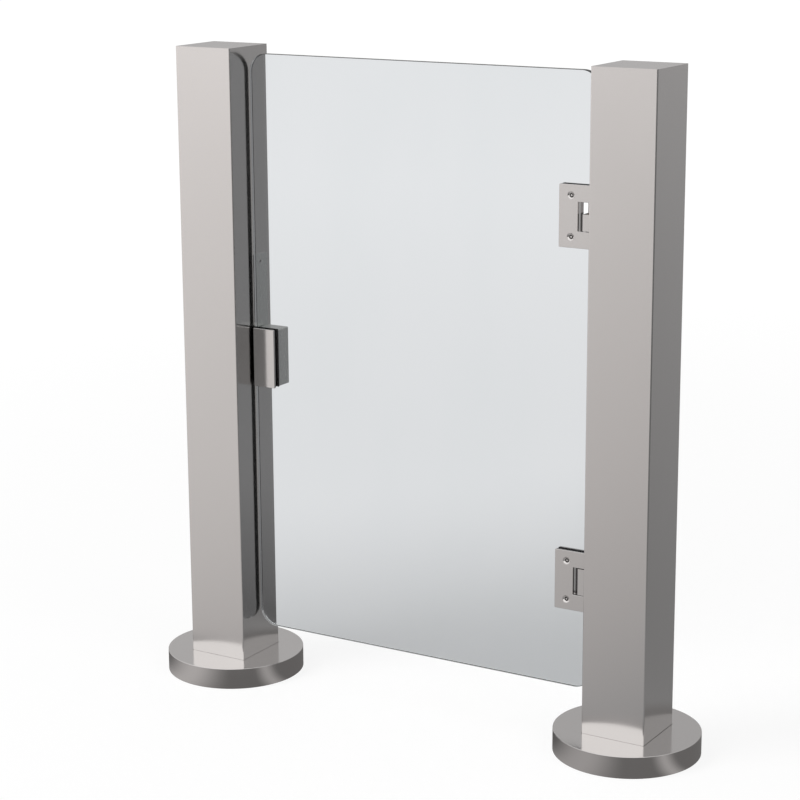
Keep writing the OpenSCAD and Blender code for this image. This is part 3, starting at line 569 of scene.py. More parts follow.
class Nodes:
    """The nodes of one material or world."""

    def __init__(self, tree):
        self.tree = tree
        tree.nodes.clear()

    def add(self, kind, chosen=None, values=None, out=0):
        """A node of a kind, with its settings chosen and then its inputs set or linked. Gives one of its
        outputs."""
        node = self.tree.nodes.new(kind)
        for name, value in (chosen or {}).items():
            setattr(node, name, value)
        for name, value in (values or {}).items():
            if isinstance(value, Value):
                self.tree.links.new(value.socket, node.inputs[name])
            else:
                node.inputs[name].default_value = value
        return Value(self, node.outputs[out]) if node.outputs else None

    def place(self, scale=(1, 1, 1), move=(0, 0, 0)):
        """Object coordinates, scaled and moved."""
        at = self.add("ShaderNodeTexCoord", out="Object")
        return self.add("ShaderNodeMapping", None, {"Vector": at, "Scale": scale, "Location": move})

    def noise(self, place, scale, detail):
        """Soft noise from 0 to 1."""
        return self.add("ShaderNodeTexNoise", None, {"Vector": place, "Scale": scale, "Detail": detail})

    def parts(self, vector):
        """The three parts of a vector."""
        first = self.add("ShaderNodeSeparateXYZ", None, {0: vector})
        return [Value(self, output) for output in first.socket.node.outputs]

    def scaled(self, colour, factor):
        """A colour made lighter or darker by a factor."""
        return self.add("ShaderNodeVectorMath", {"operation": "SCALE"}, {0: colour, "Scale": factor})

    def blend(self, factor, first, second, kind="MIX"):
        """Two colours mixed by a factor."""
        chosen = {"data_type": "RGBA", "blend_type": kind}
        values = {MIX_FACTOR: factor, MIX_FIRST: first, MIX_SECOND: second}
        return self.add("ShaderNodeMix", chosen, values, MIX_RESULT)

    def bump(self, height, strength, depth):
        """A surface's tilt from a height that varies by a depth."""
        values = {"Strength": strength, "Distance": depth, "Height": height}
        return self.add("ShaderNodeBump", None, values)

    def shader(self, values):
        """The material's surface."""
        surface = self.add("ShaderNodeBsdfPrincipled", None, values)
        self.add("ShaderNodeOutputMaterial", None, {"Surface": surface})


def shade(value, factor=1.0):
    """A colour as four numbers, made lighter or darker."""
    return (*(min(1.0, part * factor) for part in value), 1.0)


def new_nodes(name):
    """A new material and its nodes."""
    made = bpy.data.materials.new(name)
    made.use_nodes = True
    return made, Nodes(made.node_tree)


def metal(name, tone, roughness, grain, depth, haze, vary, dents=0.0):
    """Metal with fine polish lines along its grain, soft clouds in its gloss and tone, a few tiny scratches
    and, where a depth is given, a trace of waviness."""
    made, nodes = new_nodes(name)
    lines = nodes.noise(nodes.place(grain), 1.0, 2.0)
    cloud = nodes.noise(nodes.place((4.0, 4.0, 2.6), (3.1, 1.7, 0.4)), 1.0, 4.0)
    smear = nodes.noise(nodes.place((23.0, 23.0, 9.0)), 1.0, 3.0)
    scratch = nodes.noise(nodes.place((900.0, 900.0, 30.0), (0.3, 0.1, 0.7)), 1.0, 0.0).eased(0.70, 0.78)
    rough = roughness + haze * (cloud - 0.4).at_least(0) + haze * 0.6 * (smear - 0.5)
    rough = (rough + haze * 0.5 * (lines - 0.5) + haze * scratch).at_least(0.01)
    base = nodes.blend(cloud.eased(0.3, 0.75), shade(tone, 1.0 - vary), shade(tone, 1.0))
    height = lines + scratch * -0.6
    if dents:
        height = height * (depth / dents) + nodes.noise(nodes.place((9.0, 9.0, 5.0)), 1.0, 1.0)
    normal = nodes.bump(height, 1.0, dents or depth)
    nodes.shader({"Base Color": base, "Metallic": 1.0, "Roughness": rough, "Normal": normal, "IOR": 2.5})
    return made


def polished_steel(name):
    tone, grain = settings().finish.polished, (260.0, 260.0, 5.0)
    return metal(name, tone, roughness=0.15, grain=grain, depth=1.2e-7, haze=0.03, vary=0.03, dents=9e-6)


def polished_plate(name):
    tone, grain = settings().finish.plate, (420.0, 420.0, 30.0)
    return metal(name, tone, roughness=0.14, grain=grain, depth=1.5e-7, haze=0.03, vary=0.03)


def screw_steel(name):
    tone, grain = settings().finish.polished, (700.0, 700.0, 700.0)
    return metal(name, tone, roughness=0.12, grain=grain, depth=4e-7, haze=0.05, vary=0.08)


# Painted shade: a dark steel for screw sockets, the strike plate's front and the knuckles' tops
def painted_shade_steel(name):
    tone, grain = settings().finish.socket, (700.0, 700.0, 700.0)
    return metal(name, tone, roughness=0.35, grain=grain, depth=4e-7, haze=0.05, vary=0.2)


def satin_steel(name):
    tone, grain = settings().finish.satin, (60.0, 900.0, 900.0)
    return metal(name, tone, roughness=0.24, grain=grain, depth=1.2e-6, haze=0.08, vary=0.10)


def milled_steel(name):
    tone, grain = settings().finish.milled, (350.0, 350.0, 350.0)
    return metal(name, tone, roughness=0.42, grain=grain, depth=4e-6, haze=0.15, vary=0.22)


def spring_steel(name):
    tone, grain = settings().finish.spring, (500.0, 500.0, 500.0)
    return metal(name, tone, roughness=0.3, grain=grain, depth=2e-6, haze=0.1, vary=0.25)


def notch_painted_shade(name):
    """Walls of the hinges' notches, by their depth from the leaf's middle: painted shade through the plates
    and a painted highlight on the core between them. Over the upper knuckle the shade is painted lighter."""
    made, nodes = new_nodes(name)
    _, depth, up = nodes.parts(nodes.place())
    fine = nodes.noise(nodes.place((420.0, 420.0, 30.0)), 1.0, 2.0)
    tones = settings().finish
    knuckle_top = corners("upper_knuckle_bush")[1][2]
    core_front, core_back, soft = -0.0051, -0.0001, 0.0005
    over_knuckle = up.eased(knuckle_top - soft, knuckle_top + soft)
    behind_front = depth.eased(core_front - soft, core_front + soft)
    core = behind_front * depth.eased(core_back + soft, core_back - soft)
    # Painted shade beside the knuckles, painted lighter over the upper knuckle
    cut = nodes.blend(over_knuckle, shade(tones.notch), shade(tones.notch, 4.2))
    # Painted highlight: the core is brighter than the polished sheet
    base = nodes.blend(core * (0.9 + 0.1 * fine), cut, shade(tones.plate, 1.25))
    rough, normal = 0.16 + 0.06 * fine, nodes.bump(fine, 1.0, 1.5e-7)
    nodes.shader({"Base Color": base, "Metallic": 1.0, "Roughness": rough, "Normal": normal})
    return made


def sintered_bronze(name):
    made, nodes = new_nodes(name)
    pores = nodes.noise(nodes.place(), 2600.0, 2.0)
    tone = settings().finish.bronze
    base = nodes.blend(pores.eased(0.35, 0.6), shade(tone, 0.55), shade(tone))
    rough, normal = 0.34 + 0.25 * pores, nodes.bump(pores, 0.6, 2e-5)
    nodes.shader({"Base Color": base, "Metallic": 1.0, "Roughness": rough, "Normal": normal})
    return made


def gasket_rubber(name):
    made, nodes = new_nodes(name)
    fine = nodes.noise(nodes.place(), 1800.0, 3.0)
    dust = nodes.noise(nodes.place(), 60.0, 4.0).eased(0.5, 0.8)
    tone = settings().finish.rubber
    base = nodes.blend(dust, shade(tone), shade(tone, 2.4))
    rough, normal = 0.42 + 0.2 * fine, nodes.bump(fine, 0.4, 1e-5)
    nodes.shader({"Base Color": base, "Roughness": rough, "Normal": normal})
    return made


def washer_plastic(name):
    made, nodes = new_nodes(name)
    fine = nodes.noise(nodes.place(), 900.0, 3.0)
    tone = settings().finish.plastic
    base = nodes.blend(fine.eased(0.3, 0.7), shade(tone, 0.92), shade(tone))
    rough, normal = 0.32 + 0.1 * fine, nodes.bump(fine, 0.3, 4e-6)
    nodes.shader({"Base Color": base, "Roughness": rough, "Normal": normal})
    return made


def clear_glass(nodes, base, rough, glint):
    """A clear shader of glass, whose glint is this bright."""
    values = {"Base Color": base, "Roughness": rough, "Specular Tint": (glint, glint, glint, 1.0)}
    nodes.shader({**values, "IOR": 1.5, "Transmission Weight": 1.0})


def leaf_glass(name):
    """Clear glass with painted shade, a little deeper in tone low down and to the right, and faint wiping
    marks.
    """
    made, nodes = new_nodes(name)
    across, _, up = nodes.parts(nodes.place())
    hue, tone_low, tone_high = (0.975, 0.995, 1.015), 0.50, 0.76
    # Painted shade: darker low down and to the right
    deep = nodes.blend((up - across * 0.25).eased(0.02, 0.37), shade(hue, tone_low), shade(hue, tone_high))
    wiped = nodes.noise(nodes.place((6.0, 6.0, 2.5)), 1.0, 3.0)
    base = nodes.blend(wiped.eased(0.35, 0.7) * 0.4, deep, shade(settings().finish.glass, 0.97), "MULTIPLY")
    clear_glass(nodes, base, rough=0.0, glint=0.35)
    return made


def glass_edge(name):
    """The polished edge of the glass, painted dark green as shade and painted lighter at the foot
    as light from the floor.
    """
    made, nodes = new_nodes(name)
    ground = nodes.noise(nodes.place(), 700.0, 2.0)
    tones = settings().finish
    up = nodes.parts(nodes.place())[2]
    deep = nodes.blend(ground.eased(0.3, 0.7), shade(tones.glass_edge, 0.85), shade(tones.glass_edge))
    # Painted shade on the edge, and painted light from the floor low down
    base = nodes.blend(up.eased(0.14, 0.09), deep, shade(tones.glass_foot))
    clear_glass(nodes, base, rough=0.03 + 0.03 * ground, glint=0.05)
    return made


# The finishes by name
FINISHES = {
    "polished_steel": polished_steel,
    "polished_plate": polished_plate,
    "screw_steel": screw_steel,
    "painted_shade_steel": painted_shade_steel,
    "notch_painted_shade": notch_painted_shade,
    "satin_steel": satin_steel,
    "milled_steel": milled_steel,
    "spring_steel": spring_steel,
    "sintered_bronze": sintered_bronze,
    "gasket_rubber": gasket_rubber,
    "washer_plastic": washer_plastic,
    "leaf_glass": leaf_glass,
    "glass_edge": glass_edge,
}


def finish(name):
    """A material by name, made when it is first asked for."""
    full = f"barrier_{name}"
    return bpy.data.materials.get(full) or FINISHES[name](full)


# Operators


class BARRIER_OT_posts(bpy.types.Operator):
    """Finishes the two posts, their closing plates and their base plates"""

    bl_idname = "barrier.posts"
    bl_label = "Posts"
    bl_options = {"REGISTER", "UNDO"}

    def execute(self, context):
        for side in ("latch", "hinge"):
            dress(f"{side}_post", "polished_steel")
            dress(f"{side}_post_cap", "polished_steel")
            dress(f"{side}_base_plate", "milled_steel", context.scene.barrier.edges.base_plate)
        return {"FINISHED"}


class BARRIER_OT_covers(bpy.types.Operator):
    """Spins the round covers that hide the base plates"""

    bl_idname = "barrier.covers"
    bl_label = "Flange covers"
    bl_options = {"REGISTER", "UNDO"}

    def execute(self, context):
        for side in ("latch", "hinge"):
            self.cover(side, context.scene.barrier.cover)
        return {"FINISHED"}

    def cover(self, side, size):
        """The sheet's section, spun: up outside, over the rolled edge to the hole, and down inside."""
        node = f"{side}_flange_cover"
        low, high = corners(node)
        post_low, post_high = corners(f"{side}_post")
        radius, top = (high[0] - low[0]) / 2, high[2]
        around = 192
        hole = polygon_radius(angles(around), (post_high[0] - post_low[0]) / 2 + size.play, 4)
        inner, under = radius - size.sheet, top - size.sheet
        bend = max(size.edge - size.sheet, 0) + size.inner_bend
        profile = [(radius - size.lip, low[2]), (radius, low[2] + size.lip)]
        profile += arc((radius - size.edge, top - size.edge), size.edge, 0, 90)
        profile += [(hole + size.lip, top), (hole, top - size.lip), (hole, under)]
        profile += arc((inner - bend, under - bend), bend, 90, 0, 3)
        profile += [(inner, low[2])]
        centre = ((low[0] + high[0]) / 2, (low[1] + high[1]) / 2, 0)
        shell = spun(profile, around, "up", centre, closed=True)
        make(f"{side}_cover_spun", [shell], [node], f"{side}_cover", "polished_plate")


class BARRIER_OT_leaf(bpy.types.Operator):
    """Cuts the glass leaf with its cut-outs, lock holes and ground edges"""

    bl_idname = "barrier.leaf"
    bl_label = "Glass leaf"
    bl_options = {"REGISTER", "UNDO"}

    def execute(self, context):
        leaf = context.scene.barrier.leaf
        low, high = corners("glass_panel")
        left, bottom, right, top = low[0], low[2], high[0], high[2]
        inner = right - leaf.cut_out_rim
        outline = [(left, bottom), (right, bottom)]
        radii = [leaf.corner, leaf.corner]
        for hinge in ("lower", "upper"):
            height = middle_of(f"{hinge}_front_clamp")[2]
            foot, head = height - leaf.cut_out_half, height + leaf.cut_out_half
            outline += [(right, foot), (inner, foot), (inner, head), (right, head)]
            radii += [leaf.arris, leaf.cut_out_corner, leaf.cut_out_corner, leaf.arris]
        outline += [(right, top), (left, top)]
        radii += [leaf.corner, leaf.corner]
        edge = broken_edges(0, high[1] - low[1], leaf.arris)
        loops = [(filleted(outline, radii, steps=16), edge)]
        lock = middle_of("lock_front_plate")
        for way in (-1, 1):
            loops.append((circle(leaf.lock_hole, (lock[0], lock[2] + way * leaf.lock_hole_height)), edge))
        shell = slab(loops, "front", (0, high[1], 0))
        piece = make("leaf_glass_slab", [shell], ["glass_panel"], "gate", "leaf_glass")
        second_finish(piece.data, "glass_edge", lambda normal, middle: np.abs(normal[:, 1]) < ALONG)
        piece.visible_shadow = False
        return {"FINISHED"}


class BARRIER_OT_hinges(bpy.types.Operator):
    """Builds the clamp plates, screws, pins and washers of both hinges and finishes their other parts"""

    bl_idname = "barrier.hinges"
    bl_label = "Clamp hinges"
    bl_options = {"REGISTER", "UNDO"}

    def execute(self, context):
        size = context.scene.barrier
        for hinge in ("upper", "lower"):
            self.front_clamp(hinge, size.clamp)
            self.clamp_screws(hinge, size.clamp)
            self.wall_screws(hinge, size.screw)
            self.pin(hinge, size.clamp)
            self.washers(hinge, size.clamp)
            dress(f"{hinge}_back_clamp", "polished_plate", size.edges.hinge)
            self.notch_walls(hinge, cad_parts[f"{hinge}_back_clamp"], size.clamp)
            dress(f"{hinge}_wall_plate", "polished_plate", size.edges.hinge)
            self.knuckle_end(hinge, size.clamp)
            dress(f"{hinge}_tapped_plate", "milled_steel", size.edges.tapped)
            dress(f"{hinge}_front_gasket", "gasket_rubber")
            dress(f"{hinge}_back_gasket", "gasket_rubber")
            dress(f"{hinge}_knuckle_bush", "sintered_bronze")
        dress("lower_spring_bush", "sintered_bronze")
        dress("lower_return_spring", "spring_steel")
        return {"FINISHED"}

    def axis(self, hinge):
        """The middle of a hinge's pivot pin."""
        return middle_of(f"{hinge}_pivot_pin")

    def front_clamp(self, hinge, clamp):
        """The notched front plate with its countersunk holes, and the two saddles that bear on the pin."""
        node = f"{hinge}_front_clamp"
        low, high = corners(node)
        axis = self.axis(hinge)
        back = corners(f"{hinge}_front_gasket")[0][1]
        thick = back - low[1]
        left, right, up = low[0], high[0], (high[2] - low[2]) / 2
        notch, half = axis[0] - clamp.notch_reach, clamp.notch_half
        outline = [(left, -up), (right, -up), (right, -half), (notch, -half)]
        outline += [(x, -height) for x, height in outline[::-1]]
        inner_corner = 0.0004
        radii = [clamp.corner, clamp.corner, inner_corner, inner_corner]
        radii += radii[::-1]
        loops = [(filleted(outline, radii, steps=6), broken_edges(0, thick, clamp.arris))]
        for way in (-1, 1):
            at = (left + clamp.screw_inset, way * clamp.screw_height)
            loops.append((circle(CLAMP_SHANK / 2 + HOLE_PLAY, at), seat(CLAMP_SHANK, thick)))
        shells = [slab(loops, "front", (0, back, axis[2]))]
        pin_play, wrap, steps = 0.00005, 80, 16
        reach, depth, side = clamp.pin_radius + pin_play, axis[1] - back, clamp.pin_radius
        part = np.radians(np.linspace(wrap, -wrap, steps + 1))
        groove = np.stack([reach * np.sin(part), depth - reach * np.cos(part)], axis=-1)
        saddle = np.vstack([[(-side, 0), (side, 0)], groove])
        for way in (-1, 1):
            low_end, high_end = sorted((way * half, way * clamp.saddle_top))
            block = [(saddle, [(0, low_end), (0, high_end)])]
            shells.append(slab(block, "up", (axis[0], back, axis[2])))
        plate = make(f"{hinge}_front_clamp_plate", shells, [node], "gate", "polished_plate")
        self.notch_walls(hinge, plate, clamp)

    def knuckle_end(self, hinge, clamp):
        """The flat top of the knuckle is painted dark as shade."""
        end = self.axis(hinge)[0] + clamp.end_reach

        def chosen(normal, middle):
            return (normal[:, 2] > ALONG) & (middle[:, 0] < end)

        second_finish(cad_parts[f"{hinge}_wall_plate"].data, "painted_shade_steel", chosen)

    def notch_walls(self, hinge, piece, clamp):
        """The notch's upright wall, and under the lower knuckle its floor, get a finish of painted shade
        and highlight.
        """
        axis = self.axis(hinge)
        wall, floor, near = axis[0] - clamp.notch_reach, axis[2] - clamp.notch_half, 0.0005

        def chosen(normal, middle):
            upright = (normal[:, 0] > ALONG) & (np.abs(middle[:, 0] - wall) < near)
            level = (normal[:, 2] > ALONG) & (np.abs(middle[:, 2] - floor) < near) & (hinge == "lower")
            return upright | level

        second_finish(piece.data, "notch_painted_shade", chosen)

    def clamp_screws(self, hinge, clamp):
        """Two countersunk screws through the glass, their sockets and cones painted dark as shade."""
        node = f"{hinge}_clamp_screws"
        low, high = corners(node)
        face = corners(f"{hinge}_front_clamp")[0][1]
        across, middle = (low[0] + high[0]) / 2, self.axis(hinge)[2]
        heights = (middle - clamp.screw_height, middle + clamp.screw_height)
        shells = [screw(CLAMP_SHANK, high[1] - face, "front", (across, face, up)) for up in heights]
        pair = make(f"{hinge}_clamp_screw_pair", shells, [node], "gate", "screw_steel")
        second_finish(pair.data, "painted_shade_steel", lambda normal, middle: np.abs(normal[:, 1]) < SLOPING)

    def wall_screws(self, hinge, size):
        """Four countersunk screws through the wall plate into the post."""
        node = f"{hinge}_wall_screws"
        low, high = corners(node)
        face = corners(f"{hinge}_wall_plate")[1][0] - WALL_PLATE
        head = CLAMP_SHANK * size.head / 2
        shells = [
            screw(CLAMP_SHANK, high[0] - face, "left", (face, across, up))
            for across in (low[1] + head, high[1] - head)
            for up in (low[2] + head, high[2] - head)
        ]
        make(f"{hinge}_wall_screw_set", shells, [node], "frame", "screw_steel")

    def pin(self, hinge, clamp):
        """The pivot pin with its ends ground off."""
        node = f"{hinge}_pivot_pin"
        low, high = corners(node)
        axis, radius, edge = self.axis(hinge), clamp.pin_radius, 0.0004
        profile = [(0, low[2]), (radius - edge, low[2]), (radius, low[2] + edge)]
        profile += [(radius, high[2] - edge), (radius - edge, high[2]), (0, high[2])]
        shell = spun(profile, 64, "up", (axis[0], axis[1], 0))
        make(f"{hinge}_pin_ground", [shell], [node], "gate", "screw_steel")

    def washers(self, hinge, clamp):
        """The thrust washers round the pin, one at each end of the node's box or one that fills it."""
        node = "upper_thrust_washer" if hinge == "upper" else "lower_thrust_washers"
        low, high = corners(node)
        axis, thick, edge, play = self.axis(hinge), clamp.washer, 0.0001, 0.0001
        radius, bore = clamp.washer_radius, clamp.pin_radius + play
        shells = []
        for foot in sorted({round(low[2], 6), round(high[2] - thick, 6)}):
            ring = [(radius - edge, foot), (radius, foot + edge), (radius, foot + thick - edge)]
            ring += [(radius - edge, foot + thick), (bore, foot + thick), (bore, foot)]
            shells.append(spun(ring, 64, "up", (axis[0], axis[1], 0), closed=True))
        make(f"{hinge}_washer_rings", shells, [node], "gate", "washer_plastic")


class BARRIER_OT_lock(bpy.types.Operator):
    """Builds the lock's front plate, rose, thumb turn and screws and finishes its case and works"""

    bl_idname = "barrier.lock"
    bl_label = "Lock"
    bl_options = {"REGISTER", "UNDO"}

    def execute(self, context):
        size = context.scene.barrier
        self.front_plate(size.lock)
        self.rose(size.lock)
        self.turn(size.lock)
        self.lid_screws(size.screw)
        self.turn_screw()
        dress("lock_case", "satin_steel", size.edges.case)
        dress("lock_lid", "satin_steel", size.edges.case)
        dress("lock_front_gasket", "gasket_rubber")
        self.back_gasket(size.lock)
        dress("lock_case_screws", "screw_steel")
        dress("lock_bolt", "satin_steel", size.edges.bolt)
        dress("bolt_spindle", "satin_steel")
        dress("spindle_friction_washer", "spring_steel")
        return {"FINISHED"}

    def front_plate(self, size):
        """A flat plate with two bosses that pass through the glass."""
        low, high = corners("lock_front_plate")
        back = corners("lock_front_gasket")[0][1]
        middle = (low + high) / 2
        outline = rectangle(high[0] - low[0], high[2] - low[2], size.corner, steps=6)
        edge = broken_edges(0, back - low[1], size.arris)
        shells = [slab([(outline, edge)], "front", (middle[0], back, middle[2]))]
        reach = high[1] - back
        boss = [(size.boss, 0), (size.boss, reach), (size.boss_hole, reach), (size.boss_hole, 0)]
        for way in (-1, 1):
            centre = (middle[0], back, middle[2] + way * size.boss_height)
            shells.append(spun(boss, 64, "back", centre, closed=True))
        make("lock_face_plate", shells, ["lock_front_plate"], "gate", "polished_plate")

    def back_gasket(self, size):
        """The pad between case and glass, with a lip that shows over the case and beside it."""
        low, high = corners("lock_back_gasket")
        lip, play = size.gasket_lip, 0.0002
        middle = (low + high) / 2 + np.array([lip / 2, 0, lip / 2])
        outline = rectangle(high[0] - low[0] + lip, high[2] - low[2] + lip, size.corner, steps=4)
        wall = [(0, 0), (0, high[1] - low[1])]
        loops = [(outline, wall)]
        for way in (-1, 1):
            loops.append((circle(size.boss + play, (-lip / 2, way * size.boss_height - lip / 2)), wall))
        shell = slab(loops, "front", (middle[0], high[1], middle[2]))
        make("lock_gasket_pad", [shell], ["lock_back_gasket"], "gate", "gasket_rubber")

    def rose(self, size):
        """The flat ring under the turn, with a rounded outer edge."""
        low, high = corners("lock_rose")
        middle = (low + high) / 2
        radius, thick = (high[0] - low[0]) / 2, high[1] - low[1]
        bore, bend = size.rose_bore, size.rose_round
        edge = arc((radius - bend, thick - bend), bend, 0, 90)
        profile = [(bore, 0), (radius, 0)] + edge + [(bore, thick)]
        shell = spun(profile, 96, "back", (middle[0], low[1], middle[2]), closed=True)
        make("rose_ring", [shell], ["lock_rose"], "gate", "polished_plate")

    def turn(self, size):
        """The thumb turn's hub with the seat of its screw, and the wing with a rounded outer edge."""
        low, high = corners("thumb_turn")
        axis, height = middle_of("lock_rose"), high[1] - low[1]
        centre = (axis[0], low[1], axis[2])
        radius, bend, edge, step = size.hub, size.hub_round, 0.0003, 0.0005
        seat_radius, seat_floor, hole = 0.00305, height - 0.0022, 0.0018
        hub = [(radius - edge, 0), (radius, edge)]
        hub += arc((radius - bend, height - step - bend), bend, 0, 90)
        hub += [(seat_radius, height - step), (seat_radius, seat_floor), (hole, seat_floor), (hole, 0)]
        shells = [spun(hub, 96, "back", centre, closed=True)]
        outline = rectangle(size.wing, high[2] - low[2], size.wing * 0.45, steps=10)
        bend, lip, foot = size.wing_round, 0.0002, height - size.wing_rise
        rounded = [(max(bend - x, 0), up) for x, up in arc((0, height - bend), bend, 0, 90, 5)]
        wall = [(edge, foot), (0, foot + edge)] + rounded
        recess = [(0, foot), (0, height - lip), (lip, height)]
        shells.append(slab([(outline, wall), (circle(seat_radius), recess)], "back", centre))
        make("thumb_turn_wing", shells, ["thumb_turn"], "turn", "polished_plate")

    def lid_screws(self, size):
        """Four countersunk screws that hold the lid."""
        low, high = corners("lock_lid_screws")
        face = corners("lock_lid")[1][1]
        head, sunk = LID_SHANK * size.head / 2, max(face - high[1], 0)
        shells = [
            screw(LID_SHANK, face - low[1], "back", (across, face, up), sunk)
            for across in (low[0] + head, high[0] - head)
            for up in (low[2] + head, high[2] - head)
        ]
        make("lid_screw_set", shells, ["lock_lid_screws"], "gate", "screw_steel")

    def turn_screw(self):
        """The flat-headed screw in the thumb turn, spun from its tip to the floor of its socket."""
        low, high = corners("thumb_turn_screw")
        middle = (low + high) / 2
        around, shank, head, edge = 96, 0.0015, 0.00275, 0.0002
        top = high[1] - low[1]
        under, floor = top - 0.0018, top - 0.0009
        socket = socket_radius(angles(around), 0.0009)
        profile = [(0, 0), (shank - edge, 0), (shank, edge), (shank, under), (head, under)]
        profile += [(head, top - edge), (head - edge, top), (socket + edge / 2, top)]
        profile += [(socket, top - edge / 2), (socket, floor), (0, floor)]
        shell = spun(profile, around, "back", (middle[0], low[1], middle[2]))
        make("turn_screw_head", [shell], ["thumb_turn_screw"], "turn", "screw_steel")


class BARRIER_OT_strike(bpy.types.Operator):
    """Builds the strike's screws and finishes the strike plate, its box and its tapped bar"""

    bl_idname = "barrier.strike"
    bl_label = "Strike"
    bl_options = {"REGISTER", "UNDO"}

    def execute(self, context):
        size = context.scene.barrier
        dress("strike_plate", "satin_steel", size.edges.strike)
        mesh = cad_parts["strike_plate"].data
        # The strike plate's front faces are painted dark as shade
        second_finish(mesh, "painted_shade_steel", lambda normal, middle: normal[:, 1] < -ALONG)
        dress("strike_box", "satin_steel")
        dress("strike_tapped_bar", "milled_steel", size.edges.tapped)
        self.strike_screws(size.screw)
        return {"FINISHED"}

    def strike_screws(self, size):
        """Two countersunk screws flush with the plate, spun from the tip to the floor of the socket."""
        low, high = corners("strike_screws")
        around, shank, edge = 96, STRIKE_SHANK / 2, 0.0002
        head, deep = shank * size.flush_head, high[0] - low[0]
        under, floor = -0.0018, -0.0014
        socket = socket_radius(angles(around), 0.0015)
        profile = [(0, -deep), (shank - edge, -deep), (shank, -deep + edge), (shank, under), (head, -edge)]
        profile += [(head - edge, 0), (socket + edge, 0), (socket, -edge), (socket, floor), (0, floor)]
        across = (low[1] + high[1]) / 2
        heights = (low[2] + head, high[2] - head)
        shells = [spun(profile, around, "right", (high[0], across, up)) for up in heights]
        pair = make("strike_screw_pair", shells, ["strike_screws"], "frame", "screw_steel")
        # The screws' sockets are painted dark as shade
        second_finish(pair.data, "painted_shade_steel", lambda normal, middle: np.abs(normal[:, 0]) < SLOPING)


